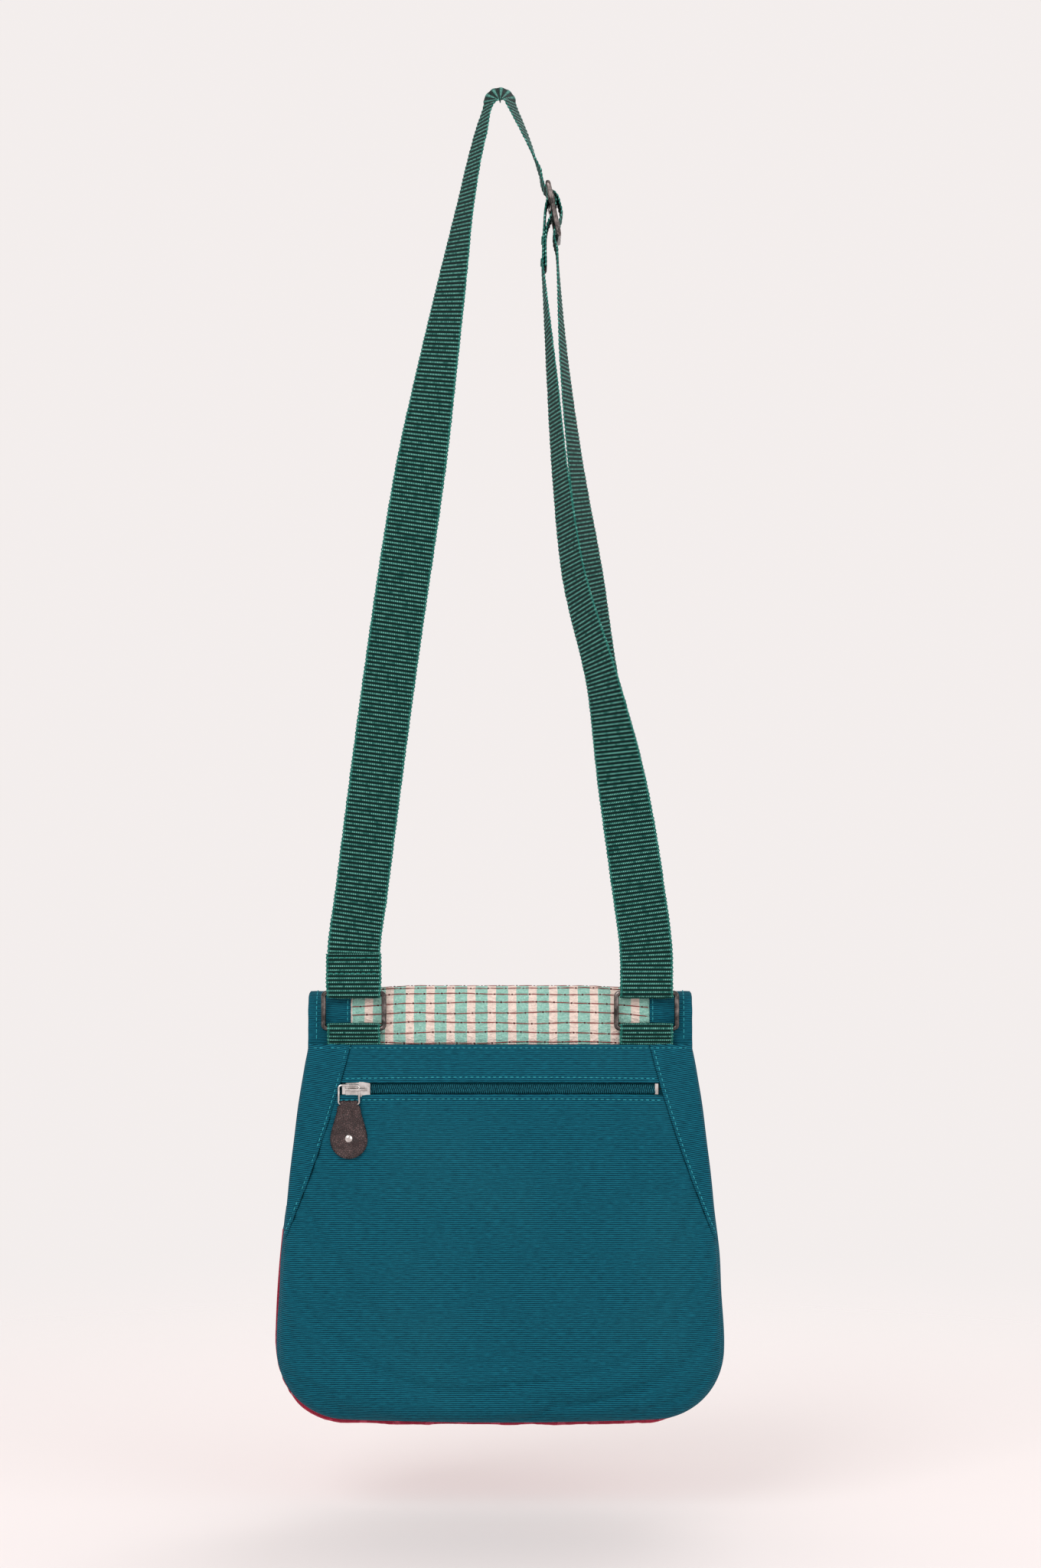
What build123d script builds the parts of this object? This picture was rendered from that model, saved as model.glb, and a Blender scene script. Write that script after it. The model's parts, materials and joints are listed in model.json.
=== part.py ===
"""Crossbody purse: a flat canvas bag with a patchwork flap, hung by its adjustable webbing strap.

Millimetres. The origin is the seat of the hook, on the inner face of the strap at its highest point.
+Z is up, +X runs along the zip towards its far end, -Y is the side with the zip, +Y the side under the flap.
"""

import os
from math import acos, atan2, cos, degrees, hypot, pi, radians, sin

from build123d import *

os.makedirs("parts", exist_ok=True)

# ---------------------------------------------------------------- driving dimensions
# Strap
WEB_WIDTH = 30.0
WEB_THICK = 1.5
HOOK_BEND = 5.0  # radius inside the strap where it lies over the hook
HOOK_TILT = 28.0  # the webbing lies on the hook with its zip-side edge lower
DROP = 502.0  # from the hook seat to the upper bars of the rings
LEFT_LEAN = 22.0  # lean of the left run as it leaves the hook, from the vertical
RIGHT_LEAN = 22.0
LEFT_SHOULDER = (-18.0, -52.0)  # x and z where the left run turns towards its ring
LEFT_SAG = 3.5  # of the left run below that
LAYER_GAP = 0.05  # between two layers of webbing that lie together
SEWN_OVERLAP = 22.0  # of the strap's end above the left ring

# Wire rings
RING_SPACING = 164.0
WEB_CLEARANCE = 1.0  # of the webbing inside a ring or the adjuster
RING_INNER_HEIGHT = 17.0
RING_WIRE = 2.8
RING_CORNER = 2.0
LOOP_GAP = 0.3  # between a bar and the webbing round it

# Strap adjuster
ADJUSTER_LENGTH = 32.2
ADJUSTER_WIRE = 2.8
ADJUSTER_TOP = (26.4, -49.5)  # upper end of the adjuster in x and z
ADJUSTER_LEAN = 11.8
CENTRE_BAR_AT = 11.2  # from the upper end
COLLAR_RADIUS = 1.8
COLLAR_LENGTH = 4.4

# Bag
RING_TAB_DROP = 9.2  # from the rings' lower bars to the top seam
BAG_TOP_WIDTH = 214.8
BAG_LOW_WIDTH = 248.8
BAG_HEIGHT = 213.4  # from the top seam to the bottom
WIDEST_DOWN = 169.0  # from the top seam to the widest level
SIDE_BOW = 3.0  # of the sides, outward
BOTTOM_BOW = 3.5
BOTTOM_CORNER = 38.0
EDGE_ROUND = 14.0
CANVAS = 1.0
LINING = 0.8
SEAM_X = 84.0  # half the width between the side seams at the top
SEAM_FOOT_DOWN = 109.0  # from the top seam to where a side seam meets the edge
SEAM_FOOT_INSIDE = 0.4  # of the edge
SEAM_MIDDLE = (0.3875, 0.45)  # a point on a side seam, as shares of its way out and its way down

# Flap
FOLD_RISE = 19.0  # from the top seam up to the axis that the flap turns on
FOLD_RADIUS = 13.0
FLAP_OUTER = 0.9
FLAP_WADDING = 1.2
FLAP_LINING = 0.9
FLAP_SLOPE = 4.8  # degrees that the front leans out
FLAP_GAP = 0.4  # between the flap and the bag's front
FLAP_REACH = 1.8  # how far the flap passes the bag at its lower edges
SEAM_DEPTH = 10.5  # how far the layers in the top seam reach below it
SEAM_END = 3.0  # between those layers and the bag's sides
FLAP_SEAM_DEPTH = 6.0  # how far the flap's own cloth reaches below the top seam
FLAP_SIDE_GAP = 0.4  # between the edges of the flap's cloth and the bag's sides, at the back
MOUTH_DOWN = 4.0  # from the flap's axis to the mouth

# Zip
ZIP_DOWN = 24.7  # from the top seam to the middle of the zip
ZIP_WINDOW = 7.3
ZIP_HALF = 88.6
COIL_HALF_WIDTH = 3.0
COIL_HEIGHT = 1.6
TAPE = 0.6
TAPE_EDGE = 1.6
TAPE_WIDTH = 11.4
STOP_LENGTH = 1.8
STOP_GAP = 0.2
STOP_LOW = 0.3  # how much lower the stops are than the coils
TAPE_PAST = 6.0  # of the tape past each end of the zip
SLIDER_LENGTH = 13.7
SLIDER_WIDTH = 8.2
SLIDER_NOSE = 3.0  # length of the taper at each end of the slider
SLIDER_TAIL = 4.0
SLIDER_TAPER = 0.8
PLATE = 1.3
REAR_PLATE = 0.9
PLATE_GAP = 0.2  # between a plate of the slider and the zip
FLANGE = 0.8
FLANGE_IN = 0.4  # from the slider's edge to the middle of a flange
FLANGE_GAP = 0.15  # between a flange and the canvas
POST_WIDTH = 2.4
POST_LENGTH = 2.8
BRIDGE_BAR = 0.7
BRIDGE_GAP = 2.4
BRIDGE_BACK = 2.2  # from the slider's tail to the bridge's rear leg
PULL_WIRE = 0.6
PULL_WIDTH = 11.4
PULL_BAR_GAP = 0.15
PULL_RISE = 2.4  # of the pull's wire above the bridge bar
PULL_DROP = 8.3  # from the middle of the zip to the pull's lower wire
PULL_CORNER = 1.6
PULL_OVERLAP = 7.6  # of the pull's right side past the slider's nose
TAB_LENGTH = 29.3  # from the shoulders down
TAB_NECK = 9.2  # between the pull's legs
TAB_SHOULDER = 1.1  # below the pull's lower wire
TAB_HOLE_GAP = 0.2
TAB_TOP_WIDTH = 12.6
TAB_WIDTH = 20.8
TAB_LAYER = 1.3
RIVET_DOWN = 17.9  # from the tab's shoulders
RIVET_RADIUS = 2.3
RIVET_SHANK = 1.2
RIVET_HEAD = 0.8

# Pockets and snap
POCKET_PAST_ZIP = 7.4  # at each end of the zip
POCKET_ABOVE_ZIP = 8.7
POCKET_HEIGHT = 158.0
POCKET_DEPTH = 5.2
POCKET_WALL = 0.4
POCKET_GAP = 0.2  # between the zip's tape and the pocket
POCKET_MOUTH = 10.4
FACING_WIDTH = 180.0
FACING_HEIGHT = 24.0
FACING_THICK = 0.8
SLIP_POCKET_WIDTH = 130.0
SLIP_POCKET_HEIGHT = 110.0
SLIP_POCKET_DOWN = 30.0  # from the mouth
LAYER_CLEARANCE = 0.05  # between two layers of cloth that lie together
SNAP_UP = 56.4  # from the bag's bottom to the snap
SNAP_RADIUS = 9.0
SNAP_GAP = 0.2  # round the snap in the cloth
SNAP_HOLE = 2.6
SNAP_PIN = 2.0
SNAP_PLATE = 1.2
SNAP_WASHER = 0.7
SOCKET_DEPTH = 1.4
SOCKET_FLOOR = 0.2
SOCKET_PROUD = 0.1
PIN_SHORT = 0.5  # between the stud's pin and the socket's washer

# ---------------------------------------------------------------- derived places
BIG = 900.0
LEFT_RING_X = -RING_SPACING / 2
RIGHT_RING_X = RING_SPACING / 2
RING_INNER_WIDTH = WEB_WIDTH + WEB_CLEARANCE
RING_TOP_Z = -DROP
RING_LOW_Z = RING_TOP_Z - RING_INNER_HEIGHT - RING_WIRE
TOP_SEAM = RING_LOW_Z - RING_TAB_DROP
BAG_BOTTOM = TOP_SEAM - BAG_HEIGHT
WIDEST = TOP_SEAM - WIDEST_DOWN
SEAM_FOOT = (BAG_LOW_WIDTH / 2 - SEAM_FOOT_INSIDE, TOP_SEAM - SEAM_FOOT_DOWN)
FLAP_SEAM_FOOT = TOP_SEAM - FLAP_SEAM_DEPTH
MOUTH = TOP_SEAM + FOLD_RISE - MOUTH_DOWN
ZIP_Z = TOP_SEAM - ZIP_DOWN
SNAP_Z = BAG_BOTTOM + SNAP_UP
SLOPE = radians(FLAP_SLOPE)
SEAM_STACK = RING_WIRE / 2 + LOOP_GAP + WEB_THICK  # room for a ring tab between canvas and flap
FOLD_Y = SEAM_STACK + FOLD_RADIUS
FOLD_Z = TOP_SEAM + FOLD_RISE
FLAP_THICK = FLAP_OUTER + FLAP_WADDING + FLAP_LINING
FLAP_INSIDE = FOLD_RADIUS - FLAP_THICK
FRONT_FACE = FLAP_INSIDE - FLAP_GAP
FLAP_BACK_Y = SEAM_STACK
LINING_BACK_Y = FLAP_BACK_Y + FLAP_THICK + POCKET_GAP
LINING_INSET = CANVAS + 2 * LAYER_CLEARANCE


def write(name, shape):
    """One node: the shape's solids in a STEP file."""
    solids = shape.solids()
    export_step(Compound(solids), f"parts/{name}.step")
    return shape


def on_xz(face, near, far):
    """A face drawn in x and z, given depth from y = near to y = far."""
    plane = Plane(origin=(0, near, 0), x_dir=(1, 0, 0), z_dir=(0, -1, 0))
    return extrude(plane * face, amount=-(far - near))


def on_yz(face, low, high):
    """A face drawn in y and z, given length from x = low to x = high."""
    return extrude(Plane.YZ.offset(low) * face, amount=high - low)


def block(x, y, z):
    """A box from three (low, high) pairs."""
    centre = [(low + high) / 2 for low, high in (x, y, z)]
    size = [high - low for low, high in (x, y, z)]
    return Pos(*centre) * Box(*size)


def face_of(*edges):
    return make_face(Wire(edges))


# ---------------------------------------------------------------- webbing
def sections(stations, first=None, last=None):
    """Upright rectangles across flat webbing, one for each station of (centre, direction across).

    first and last are the directions of the webbing at its two ends.
    """
    centres = [Vector(*centre) for centre, _ in stations]
    faces = []
    for i, (_, across) in enumerate(stations):
        along = (centres[min(i + 1, len(centres) - 1)] - centres[max(i - 1, 0)]).normalized()
        if i == 0 and first:
            along = Vector(*first).normalized()
        if i == len(stations) - 1 and last:
            along = Vector(*last).normalized()
        side = Vector(*across)
        side = (side - along * side.dot(along)).normalized()
        half, thick = side * (WEB_WIDTH / 2), along.cross(side) * (WEB_THICK / 2)
        c = centres[i]
        corners = [c - half - thick, c + half - thick, c + half + thick, c - half + thick]
        faces.append(face_of(*Polyline(*corners, close=True).edges()))
    return faces


def ribbon(faces):
    """Webbing ruled from one rectangle to the next."""
    return loft(faces, ruled=True)


def mix(low, high, share):
    return low + (high - low) * share


def hook_arc():
    """Stations round the hook, from the top of the left run to the top of the right run."""
    stations = []
    start, end = radians(180 - LEFT_LEAN), radians(RIGHT_LEAN)
    radius = HOOK_BEND + WEB_THICK / 2
    steps = 8
    for i in range(steps + 1):
        angle = mix(start, end, i / steps)
        centre = (radius * cos(angle), 0, radius * sin(angle) - HOOK_BEND)
        tilt = radians(HOOK_TILT) * sin(pi * i / steps)
        stations.append((centre, (0, -cos(tilt), -sin(tilt))))
    return stations


ARC_FIRST = (sin(radians(LEFT_LEAN)), 0, cos(radians(LEFT_LEAN)))
ARC_LAST = (sin(radians(RIGHT_LEAN)), 0, -cos(radians(RIGHT_LEAN)))


def left_run_stations(top):
    """The left run turns from edge-on under the hook to flat above its ring."""
    foot_z = RING_TOP_Z + SEWN_OVERLAP
    foot = (LEFT_RING_X, WEB_THICK / 2, foot_z)
    bends = [(0.93, 0.0), (0.55, 0.0), (0.44, 14.0), (0.33, 36.0), (0.22, 55.0), (0.12, 74.0), (0.05, 82.0)]
    stations = [(foot, (1, 0, 0))]
    shoulder_x, shoulder_z = LEFT_SHOULDER
    for share, turn in bends:
        z = share * foot_z
        down = (z - shoulder_z) / (foot_z - shoulder_z)
        if down > 0:
            x = mix(shoulder_x, foot[0], down) - LEFT_SAG * sin(pi * down)
        else:
            x = mix(top[0], shoulder_x, (z - top[2]) / (shoulder_z - top[2])) - 1.0
        a = radians(turn)
        stations.append(((x, mix(0, foot[1], share), z), (cos(a), -sin(a), 0)))
    return stations


def bar_loop(bar_radius, centre, tip, tip_half, tail):
    """Webbing round a bar, seen along the bar: it closes to two layers at its tip and ends at its tail."""
    inner = teardrop(centre, bar_radius + LOOP_GAP, tip)
    lean = atan2(tail[1] - tip[1], tail[0] - tip[0])
    length = hypot(tail[0] - tip[0], tail[1] - tip[1])
    middle = ((tip[0] + tail[0]) / 2, (tip[1] + tail[1]) / 2)
    layers = Pos(*middle) * Rot(0, 0, degrees(lean)) * Rectangle(length, 2 * tip_half)
    ring = Pos(*centre) * Circle(bar_radius + LOOP_GAP + WEB_THICK)
    neck = Pos(*tip) * Rot(0, 0, degrees(lean)) * Rectangle(0.2, 2 * tip_half)
    outer = make_hull(ring.edges() + neck.edges())
    return outer + layers - inner


def teardrop(centre, radius, tip):
    """A circle drawn out to a point."""
    way = atan2(tip[1] - centre[1], tip[0] - centre[0])
    open_angle = acos(radius / hypot(tip[0] - centre[0], tip[1] - centre[1]))
    ends = [
        (centre[0] + radius * cos(way + s * open_angle), centre[1] + radius * sin(way + s * open_angle))
        for s in (1, -1)
    ]
    back = (centre[0] - radius * cos(way), centre[1] - radius * sin(way))
    return face_of(Line(tip, ends[0]), ThreePointArc(ends[0], back, ends[1]), Line(ends[1], tip))


LOOP_NECK = 12.0  # height of a webbing loop over its bar


def strap():
    arc = hook_arc()
    write("strap_hook_arch", ribbon(sections(arc, ARC_FIRST, ARC_LAST)))
    left = left_run_stations(arc[0][0]) + [arc[0]]
    write("strap_left_run", ribbon(sections(left, (0, 0, 1), ARC_FIRST)))
    upper = [arc[-1], BIGHT_STATIONS[0]]
    write("strap_upper_run", ribbon(sections(upper, ARC_LAST, ALONG)))
    bar = (0, RING_TOP_Z)
    neck = (0, RING_TOP_Z + LOOP_NECK)
    half = WEB_WIDTH / 2
    for name, x, height in (
        ("strap_left_end", LEFT_RING_X, SEWN_OVERLAP),
        ("strap_right_loop", RIGHT_RING_X, LEG_FOOT),
    ):
        loop = bar_loop(RING_WIRE / 2, bar, neck, WEB_THICK, (0, RING_TOP_Z + height))
        write(name, on_yz(loop, x - half, x + half))
    for name, stations, top in (("main_leg", MAIN_LEG, UP), ("return_leg", RETURN_LEG, TAIL_UP)):
        faces = sections(stations, (0, 0, 1), top)
        write(f"{name}_lower", ribbon(faces[: LEG_SPLIT + 1]))
        write(f"{name}_upper", ribbon(faces[LEG_SPLIT:]))


# ---------------------------------------------------------------- adjuster
LEAN = radians(ADJUSTER_LEAN)


def beside(along, out, y=0.0):
    """A point given along the adjuster from its upper end, and out from its plane towards +X."""
    x0, z0 = ADJUSTER_TOP
    return (x0 + along * sin(LEAN) + out * cos(LEAN), y, z0 - along * cos(LEAN) + out * sin(LEAN))


ALONG = (sin(LEAN), 0, -cos(LEAN))
UP = (-sin(LEAN), 0, cos(LEAN))
ADJUSTER_PLANE = Plane(origin=beside(0, 0), x_dir=ALONG, z_dir=(0, -1, 0))
BAR_PASS = ADJUSTER_WIRE / 2 + 0.25 + WEB_THICK / 2  # middle of the webbing where it passes a bar
BIGHT_OUT = ADJUSTER_WIRE / 2 + LOOP_GAP + WEB_THICK + 0.25 + WEB_THICK / 2
LOW_BAR_AT = ADJUSTER_LENGTH - ADJUSTER_WIRE / 2
BIGHT_PATH = [
    (-7.0, -BAR_PASS),
    (0.8, -BAR_PASS),
    (3.4, -1.6),
    (6.6, 2.2),
    (9.6, BIGHT_OUT - 0.35),
    (13.5, BIGHT_OUT),
    (19.0, BIGHT_OUT - 0.1),
    (22.5, 2.4),
    (27.0, -1.5),
    (29.8, -BAR_PASS),
    (38.0, -BAR_PASS),
]
BIGHT_STATIONS = [(beside(u, v), (0, -1, 0)) for u, v in BIGHT_PATH]
END_LOOP_TIP = (24.0, -6.0)
END_LOOP_TAIL = (46.0, -11.4)
TAIL_LEAN = atan2(END_LOOP_TAIL[1] - END_LOOP_TIP[1], END_LOOP_TAIL[0] - END_LOOP_TIP[0])
TAIL_UP = (-sin(LEAN + TAIL_LEAN), 0, cos(LEAN + TAIL_LEAN))

# The two legs between the adjuster and the right ring, from the ring up. Each has its middle and its turn.
# The return leg comes up on the zip side and the main leg behind it; a turn of 90 is edge-on.
LEG_FOOT = 16.0
LEG_LEVELS = [0.0, 0.12, 0.24, 0.40, 0.56, 0.70, 0.85, 1.0]  # share of the way up
LEG_SPLIT = 4  # the legs keep their shape below this level
LEG_IN = [0.0, 0.10, 0.235, 0.445, 0.67, 0.815, 0.925, 1.0]  # share of the way in from the ring
RETURN_TURN = [0.0, 4.0, 20.0, 52.0, 65.0, 73.0, 80.0, 90.0]
MAIN_TURN = [0.0, 8.0, 26.0, 54.0, 64.0, 72.0, 80.0, 90.0]
LEG_APART_Y = [0.0, 0.17, 0.47, 0.85, 0.42, 0.15, 0.04, 0.0]  # in widths of the webbing
LEG_APART_X = [0.0, 0.0, 0.0, 0.04, 0.33, 0.29, 0.23, 0.0]


def leg(side, turns, foot_y, top):
    """Stations of one leg: side is -1 for the return leg and 1 for the main leg."""
    stations = []
    foot_z = RING_TOP_Z + LEG_FOOT
    for i, share in enumerate(LEG_LEVELS):
        z = mix(foot_z, top[2], share)
        in_x = top[0] if share == 1.0 else LEGS_MEET_X
        x = mix(RIGHT_RING_X, in_x, LEG_IN[i]) + side * LEG_APART_X[i] * WEB_WIDTH / 2
        y = mix(foot_y, 0, share) + side * LEG_APART_Y[i] * WEB_WIDTH / 2
        a = radians(turns[i])
        across = (cos(a), side * sin(a), 0)
        stations.append(((x, y, z), across))
    return stations


LAYER_Y = (WEB_THICK + LAYER_GAP) / 2
LEGS_MEET_X = (beside(*END_LOOP_TAIL)[0] + beside(*BIGHT_PATH[-1])[0]) / 2
RETURN_LEG = leg(-1, RETURN_TURN, -LAYER_Y, beside(*END_LOOP_TAIL))
MAIN_LEG = leg(1, MAIN_TURN, LAYER_Y, beside(*BIGHT_PATH[-1]))


def adjuster():
    wire = ADJUSTER_WIRE / 2
    across = RING_INNER_WIDTH + ADJUSTER_WIRE
    plane = Plane(
        origin=beside(ADJUSTER_LENGTH / 2, 0), x_dir=(0, 1, 0), z_dir=(cos(LEAN), 0, sin(LEAN))
    )
    loop = RectangleRounded(across, ADJUSTER_LENGTH - ADJUSTER_WIRE, RING_CORNER)
    frame = wire_loop(plane, loop, wire)
    centre = Vector(*beside(CENTRE_BAR_AT, 0))
    bar_plane = Plane(origin=centre, x_dir=(1, 0, 0), z_dir=(0, 1, 0))
    bar = bar_plane * Cylinder(wire, across - ADJUSTER_WIRE)
    for s in (-1, 1):
        at = Plane(origin=centre + Vector(0, s * across / 2, 0), x_dir=(0, 1, 0), z_dir=ALONG)
        bar = bar + at * Cylinder(COLLAR_RADIUS, COLLAR_LENGTH)
        bar = bar - at * Cylinder(wire, 2 * COLLAR_LENGTH)
    write("adjuster_frame", frame)
    write("adjuster_centre_bar", bar)
    centre_2d = (CENTRE_BAR_AT, 0)
    loop_face = bar_loop(wire, centre_2d, END_LOOP_TIP, WEB_THICK, END_LOOP_TAIL)
    sheet = extrude(ADJUSTER_PLANE * loop_face, amount=WEB_WIDTH / 2, both=True)
    write("strap_end_loop", sheet)
    write("strap_bight", ribbon(sections(BIGHT_STATIONS, ALONG, ALONG)))


def wire_loop(plane, outline, radius):
    """Round wire bent along a closed outline."""
    path = (plane * outline).wire()
    start = path @ 0
    section = Plane(origin=start, z_dir=path % 0) * Circle(radius)
    return sweep(section, path=path)


def rings():
    for name, x in (("ring_left", LEFT_RING_X), ("ring_right", RIGHT_RING_X)):
        plane = Plane(origin=(x, 0, (RING_TOP_Z + RING_LOW_Z) / 2), x_dir=(1, 0, 0), z_dir=(0, -1, 0))
        loop = RectangleRounded(
            RING_INNER_WIDTH + RING_WIRE, RING_INNER_HEIGHT + RING_WIRE, RING_CORNER
        )
        write(name, wire_loop(plane, loop, RING_WIRE / 2))


# ---------------------------------------------------------------- bag body
def outline(reach=0.0, inset=0.0, top=FOLD_Z + 30.0):
    """The bag seen from its back, in x and z. reach widens its lower edges and inset moves every edge in."""
    half_top = BAG_TOP_WIDTH / 2
    half_low = BAG_LOW_WIDTH / 2 + reach
    corner_z = BAG_BOTTOM - reach + BOTTOM_BOW
    middle_z = (TOP_SEAM + WIDEST) / 2
    middle_x = (half_top + half_low) / 2 + SIDE_BOW
    edges = [Line((-half_top, top), (half_top, top))]
    for s in (1, -1):
        edges.append(Line((s * half_top, top), (s * half_top, TOP_SEAM)))
        edges.append(
            ThreePointArc((s * half_top, TOP_SEAM), (s * middle_x, middle_z), (s * half_low, WIDEST))
        )
        edges.append(Line((s * half_low, WIDEST), (s * half_low, corner_z)))
    edges.append(
        ThreePointArc((-half_low, corner_z), (0, BAG_BOTTOM - reach), (half_low, corner_z))
    )
    face = make_face(edges)
    low = [v for v in face.vertices() if abs(v.Y - corner_z) < 0.01]
    face = fillet(low, BOTTOM_CORNER)
    return offset(face, amount=-inset) if inset else face


def front_point(out, down):
    """y and z of a point beside the flap's front: out from the fold's axis, and down along the slope."""
    return (
        FOLD_Y + out * cos(SLOPE) + down * sin(SLOPE),
        FOLD_Z + out * sin(SLOPE) - down * cos(SLOPE),
    )


def front_slab(inner, outer, top=0.0, length=260.0):
    """A sheet parallel to the front, between two distances from the fold's axis."""
    corners = [
        front_point(inner, top),
        front_point(outer, top),
        front_point(outer, length),
        front_point(inner, length),
    ]
    return on_yz(make_face(Polyline(*corners, close=True)), -BIG, BIG)


def profile(inset):
    """The bag seen from its side, in y and z, each edge moved in by inset, and open at the top."""
    out = FRONT_FACE - inset
    low = BAG_BOTTOM - 1.0 + inset
    top = FOLD_Z + 30.0
    back = -CANVAS + inset
    reach_down = (FOLD_Z + out * sin(SLOPE) - low) / cos(SLOPE)
    reach_up = (FOLD_Z + out * sin(SLOPE) - top) / cos(SLOPE)
    corners = [(back, top), (back, low), front_point(out, reach_down), front_point(out, reach_up)]
    face = make_face(Polyline(*corners, close=True))
    lower = [v for v in face.vertices() if abs(v.Y - low) < 0.01]
    return fillet(lower, EDGE_ROUND - inset)


def form(inset):
    """The space inside the bag's surface moved in by inset."""
    return on_xz(outline(inset=inset), -50, 150) & on_yz(profile(inset), -BIG, BIG)


def side_region(side):
    """In x and z, everything outside one side seam."""
    top = FOLD_Z + 20.0
    foot_x, foot_z = SEAM_FOOT
    out_share, down_share = SEAM_MIDDLE
    seam_top = (side * SEAM_X, TOP_SEAM)
    middle = (side * mix(SEAM_X, foot_x, out_share), mix(TOP_SEAM, foot_z, down_share))
    foot = (side * foot_x, foot_z)
    beyond = (side * (foot_x + 10), foot_z - 14)
    out = side * BIG / 2
    return face_of(
        Line((out, top), (side * SEAM_X, top)),
        Line((side * SEAM_X, top), seam_top),
        ThreePointArc(seam_top, middle, foot),
        Line(foot, beyond),
        Line(beyond, (out, beyond[1])),
        Line((out, beyond[1]), (out, top)),
    )


def bag_shell():
    shell = form(0) - form(CANVAS)
    back = shell & block((-BIG, BIG), (-5, 0), (-BIG, TOP_SEAM))
    window = block((-ZIP_HALF, ZIP_HALF), (-5, 5), (ZIP_Z - ZIP_WINDOW / 2, ZIP_Z + ZIP_WINDOW / 2))
    left = on_xz(side_region(-1), -5, 5)
    right = on_xz(side_region(1), -5, 5)
    write("side_wedge_left", (back & left) - window)
    write("side_wedge_right", (back & right) - window)
    middle = back - left - right - window
    above = block((-BIG, BIG), (-5, 5), (ZIP_Z, 0))
    write("back_yoke", middle & above)
    write("back_panel", middle - above)
    under_flap = block((-BIG, BIG), (-5, LINING_BACK_Y + LINING), (FLAP_SEAM_FOOT - LOOP_GAP, 0))
    below_mouth = block((-BIG, BIG), (-5, 150), (-BIG, MOUTH))
    front = shell & front_slab(FRONT_FACE - CANVAS, FRONT_FACE + 1, -60, 300) & below_mouth
    write("front_panel", front - snap_hole())
    rest = shell & block((-BIG, BIG), (0, 150), (-BIG, MOUTH))
    rest = rest - front_slab(FRONT_FACE - CANVAS, FRONT_FACE + 1, -60, 300) - under_flap
    write("gusset", rest)


def lining():
    """The main compartment's lining, open at the mouth, with its back wall clear of the zip pocket."""
    ahead = block((-BIG, BIG), (LINING_BACK_Y, 150), (-BIG, MOUTH))
    ahead_in = block((-BIG, BIG), (LINING_BACK_Y + LINING, 150), (-BIG, 0))
    pouch = (form(LINING_INSET) & ahead) - (form(LINING_INSET + LINING) & ahead_in)
    write("main_lining", pouch - snap_hole())
    inset = LINING_INSET + LINING + LAYER_CLEARANCE
    half = FACING_WIDTH / 2
    inside = form(inset) & block((-half, half), (-5, 150), (MOUTH - FACING_HEIGHT, MOUTH))
    out = FRONT_FACE - inset
    write("mouth_facing", inside & front_slab(out - FACING_THICK, out, -60, 300))
    y = LINING_BACK_Y + LINING + LAYER_CLEARANCE
    top = MOUTH - SLIP_POCKET_DOWN
    half = SLIP_POCKET_WIDTH / 2
    write("inner_slip_pocket", block((-half, half), (y, y + LINING), (top - SLIP_POCKET_HEIGHT, top)))


def zip_pocket():
    """A flat pouch behind the back panel, open behind the zip."""
    near = TAPE + POCKET_GAP
    far = near + POCKET_DEPTH
    half = ZIP_HALF + POCKET_PAST_ZIP
    top = ZIP_Z + POCKET_ABOVE_ZIP
    low = top - POCKET_HEIGHT
    w = POCKET_WALL
    outer = block((-half, half), (near, far), (low, top))
    inner = block((-half + w, half - w), (near + w, far - w), (low + w, top - w))
    mouth_z = (ZIP_Z - POCKET_MOUTH / 2, ZIP_Z + POCKET_MOUTH / 2)
    mouth = block((-ZIP_HALF, ZIP_HALF), (near - 1, near + 1), mouth_z)
    write("pocket_lining", outer - inner - mouth)


# ---------------------------------------------------------------- seam at the top of the back
def top_seam():
    half = WEB_WIDTH / 2
    tail_y = SEAM_STACK / 2
    tab = bar_loop(
        RING_WIRE / 2, (0, RING_LOW_Z), (tail_y, TOP_SEAM), WEB_THICK, (tail_y, TOP_SEAM - SEAM_DEPTH)
    )
    for name, x in (("ring_tab_left", LEFT_RING_X), ("ring_tab_right", RIGHT_RING_X)):
        write(name, on_yz(tab, x - half, x + half))
    beside_tab = half + POCKET_GAP
    end = BAG_TOP_WIDTH / 2 - SEAM_END
    spans = [
        (-end, LEFT_RING_X - beside_tab),
        (LEFT_RING_X + beside_tab, RIGHT_RING_X - beside_tab),
        (RIGHT_RING_X + beside_tab, end),
    ]
    y = (LAYER_CLEARANCE, SEAM_STACK - LAYER_CLEARANCE)
    layers = [block(x, y, (TOP_SEAM - SEAM_DEPTH, TOP_SEAM)) for x in spans]
    write("top_seam_allowance", Compound(layers))


# ---------------------------------------------------------------- flap
def flap_back():
    """The flap's cloth from the top seam up to its fold, on the back of the bag."""
    inside = on_xz(outline(inset=FLAP_SIDE_GAP), -5, BIG)
    y = (FLAP_BACK_Y, FLAP_BACK_Y + FLAP_THICK)
    z = (FLAP_SEAM_FOOT, FOLD_Z)
    write("flap_back_centre", block((-SEAM_X, SEAM_X), y, z))
    write("flap_back_left", inside & block((-BIG, -SEAM_X), y, z))
    write("flap_back_right", inside & block((SEAM_X, BIG), y, z))


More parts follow.
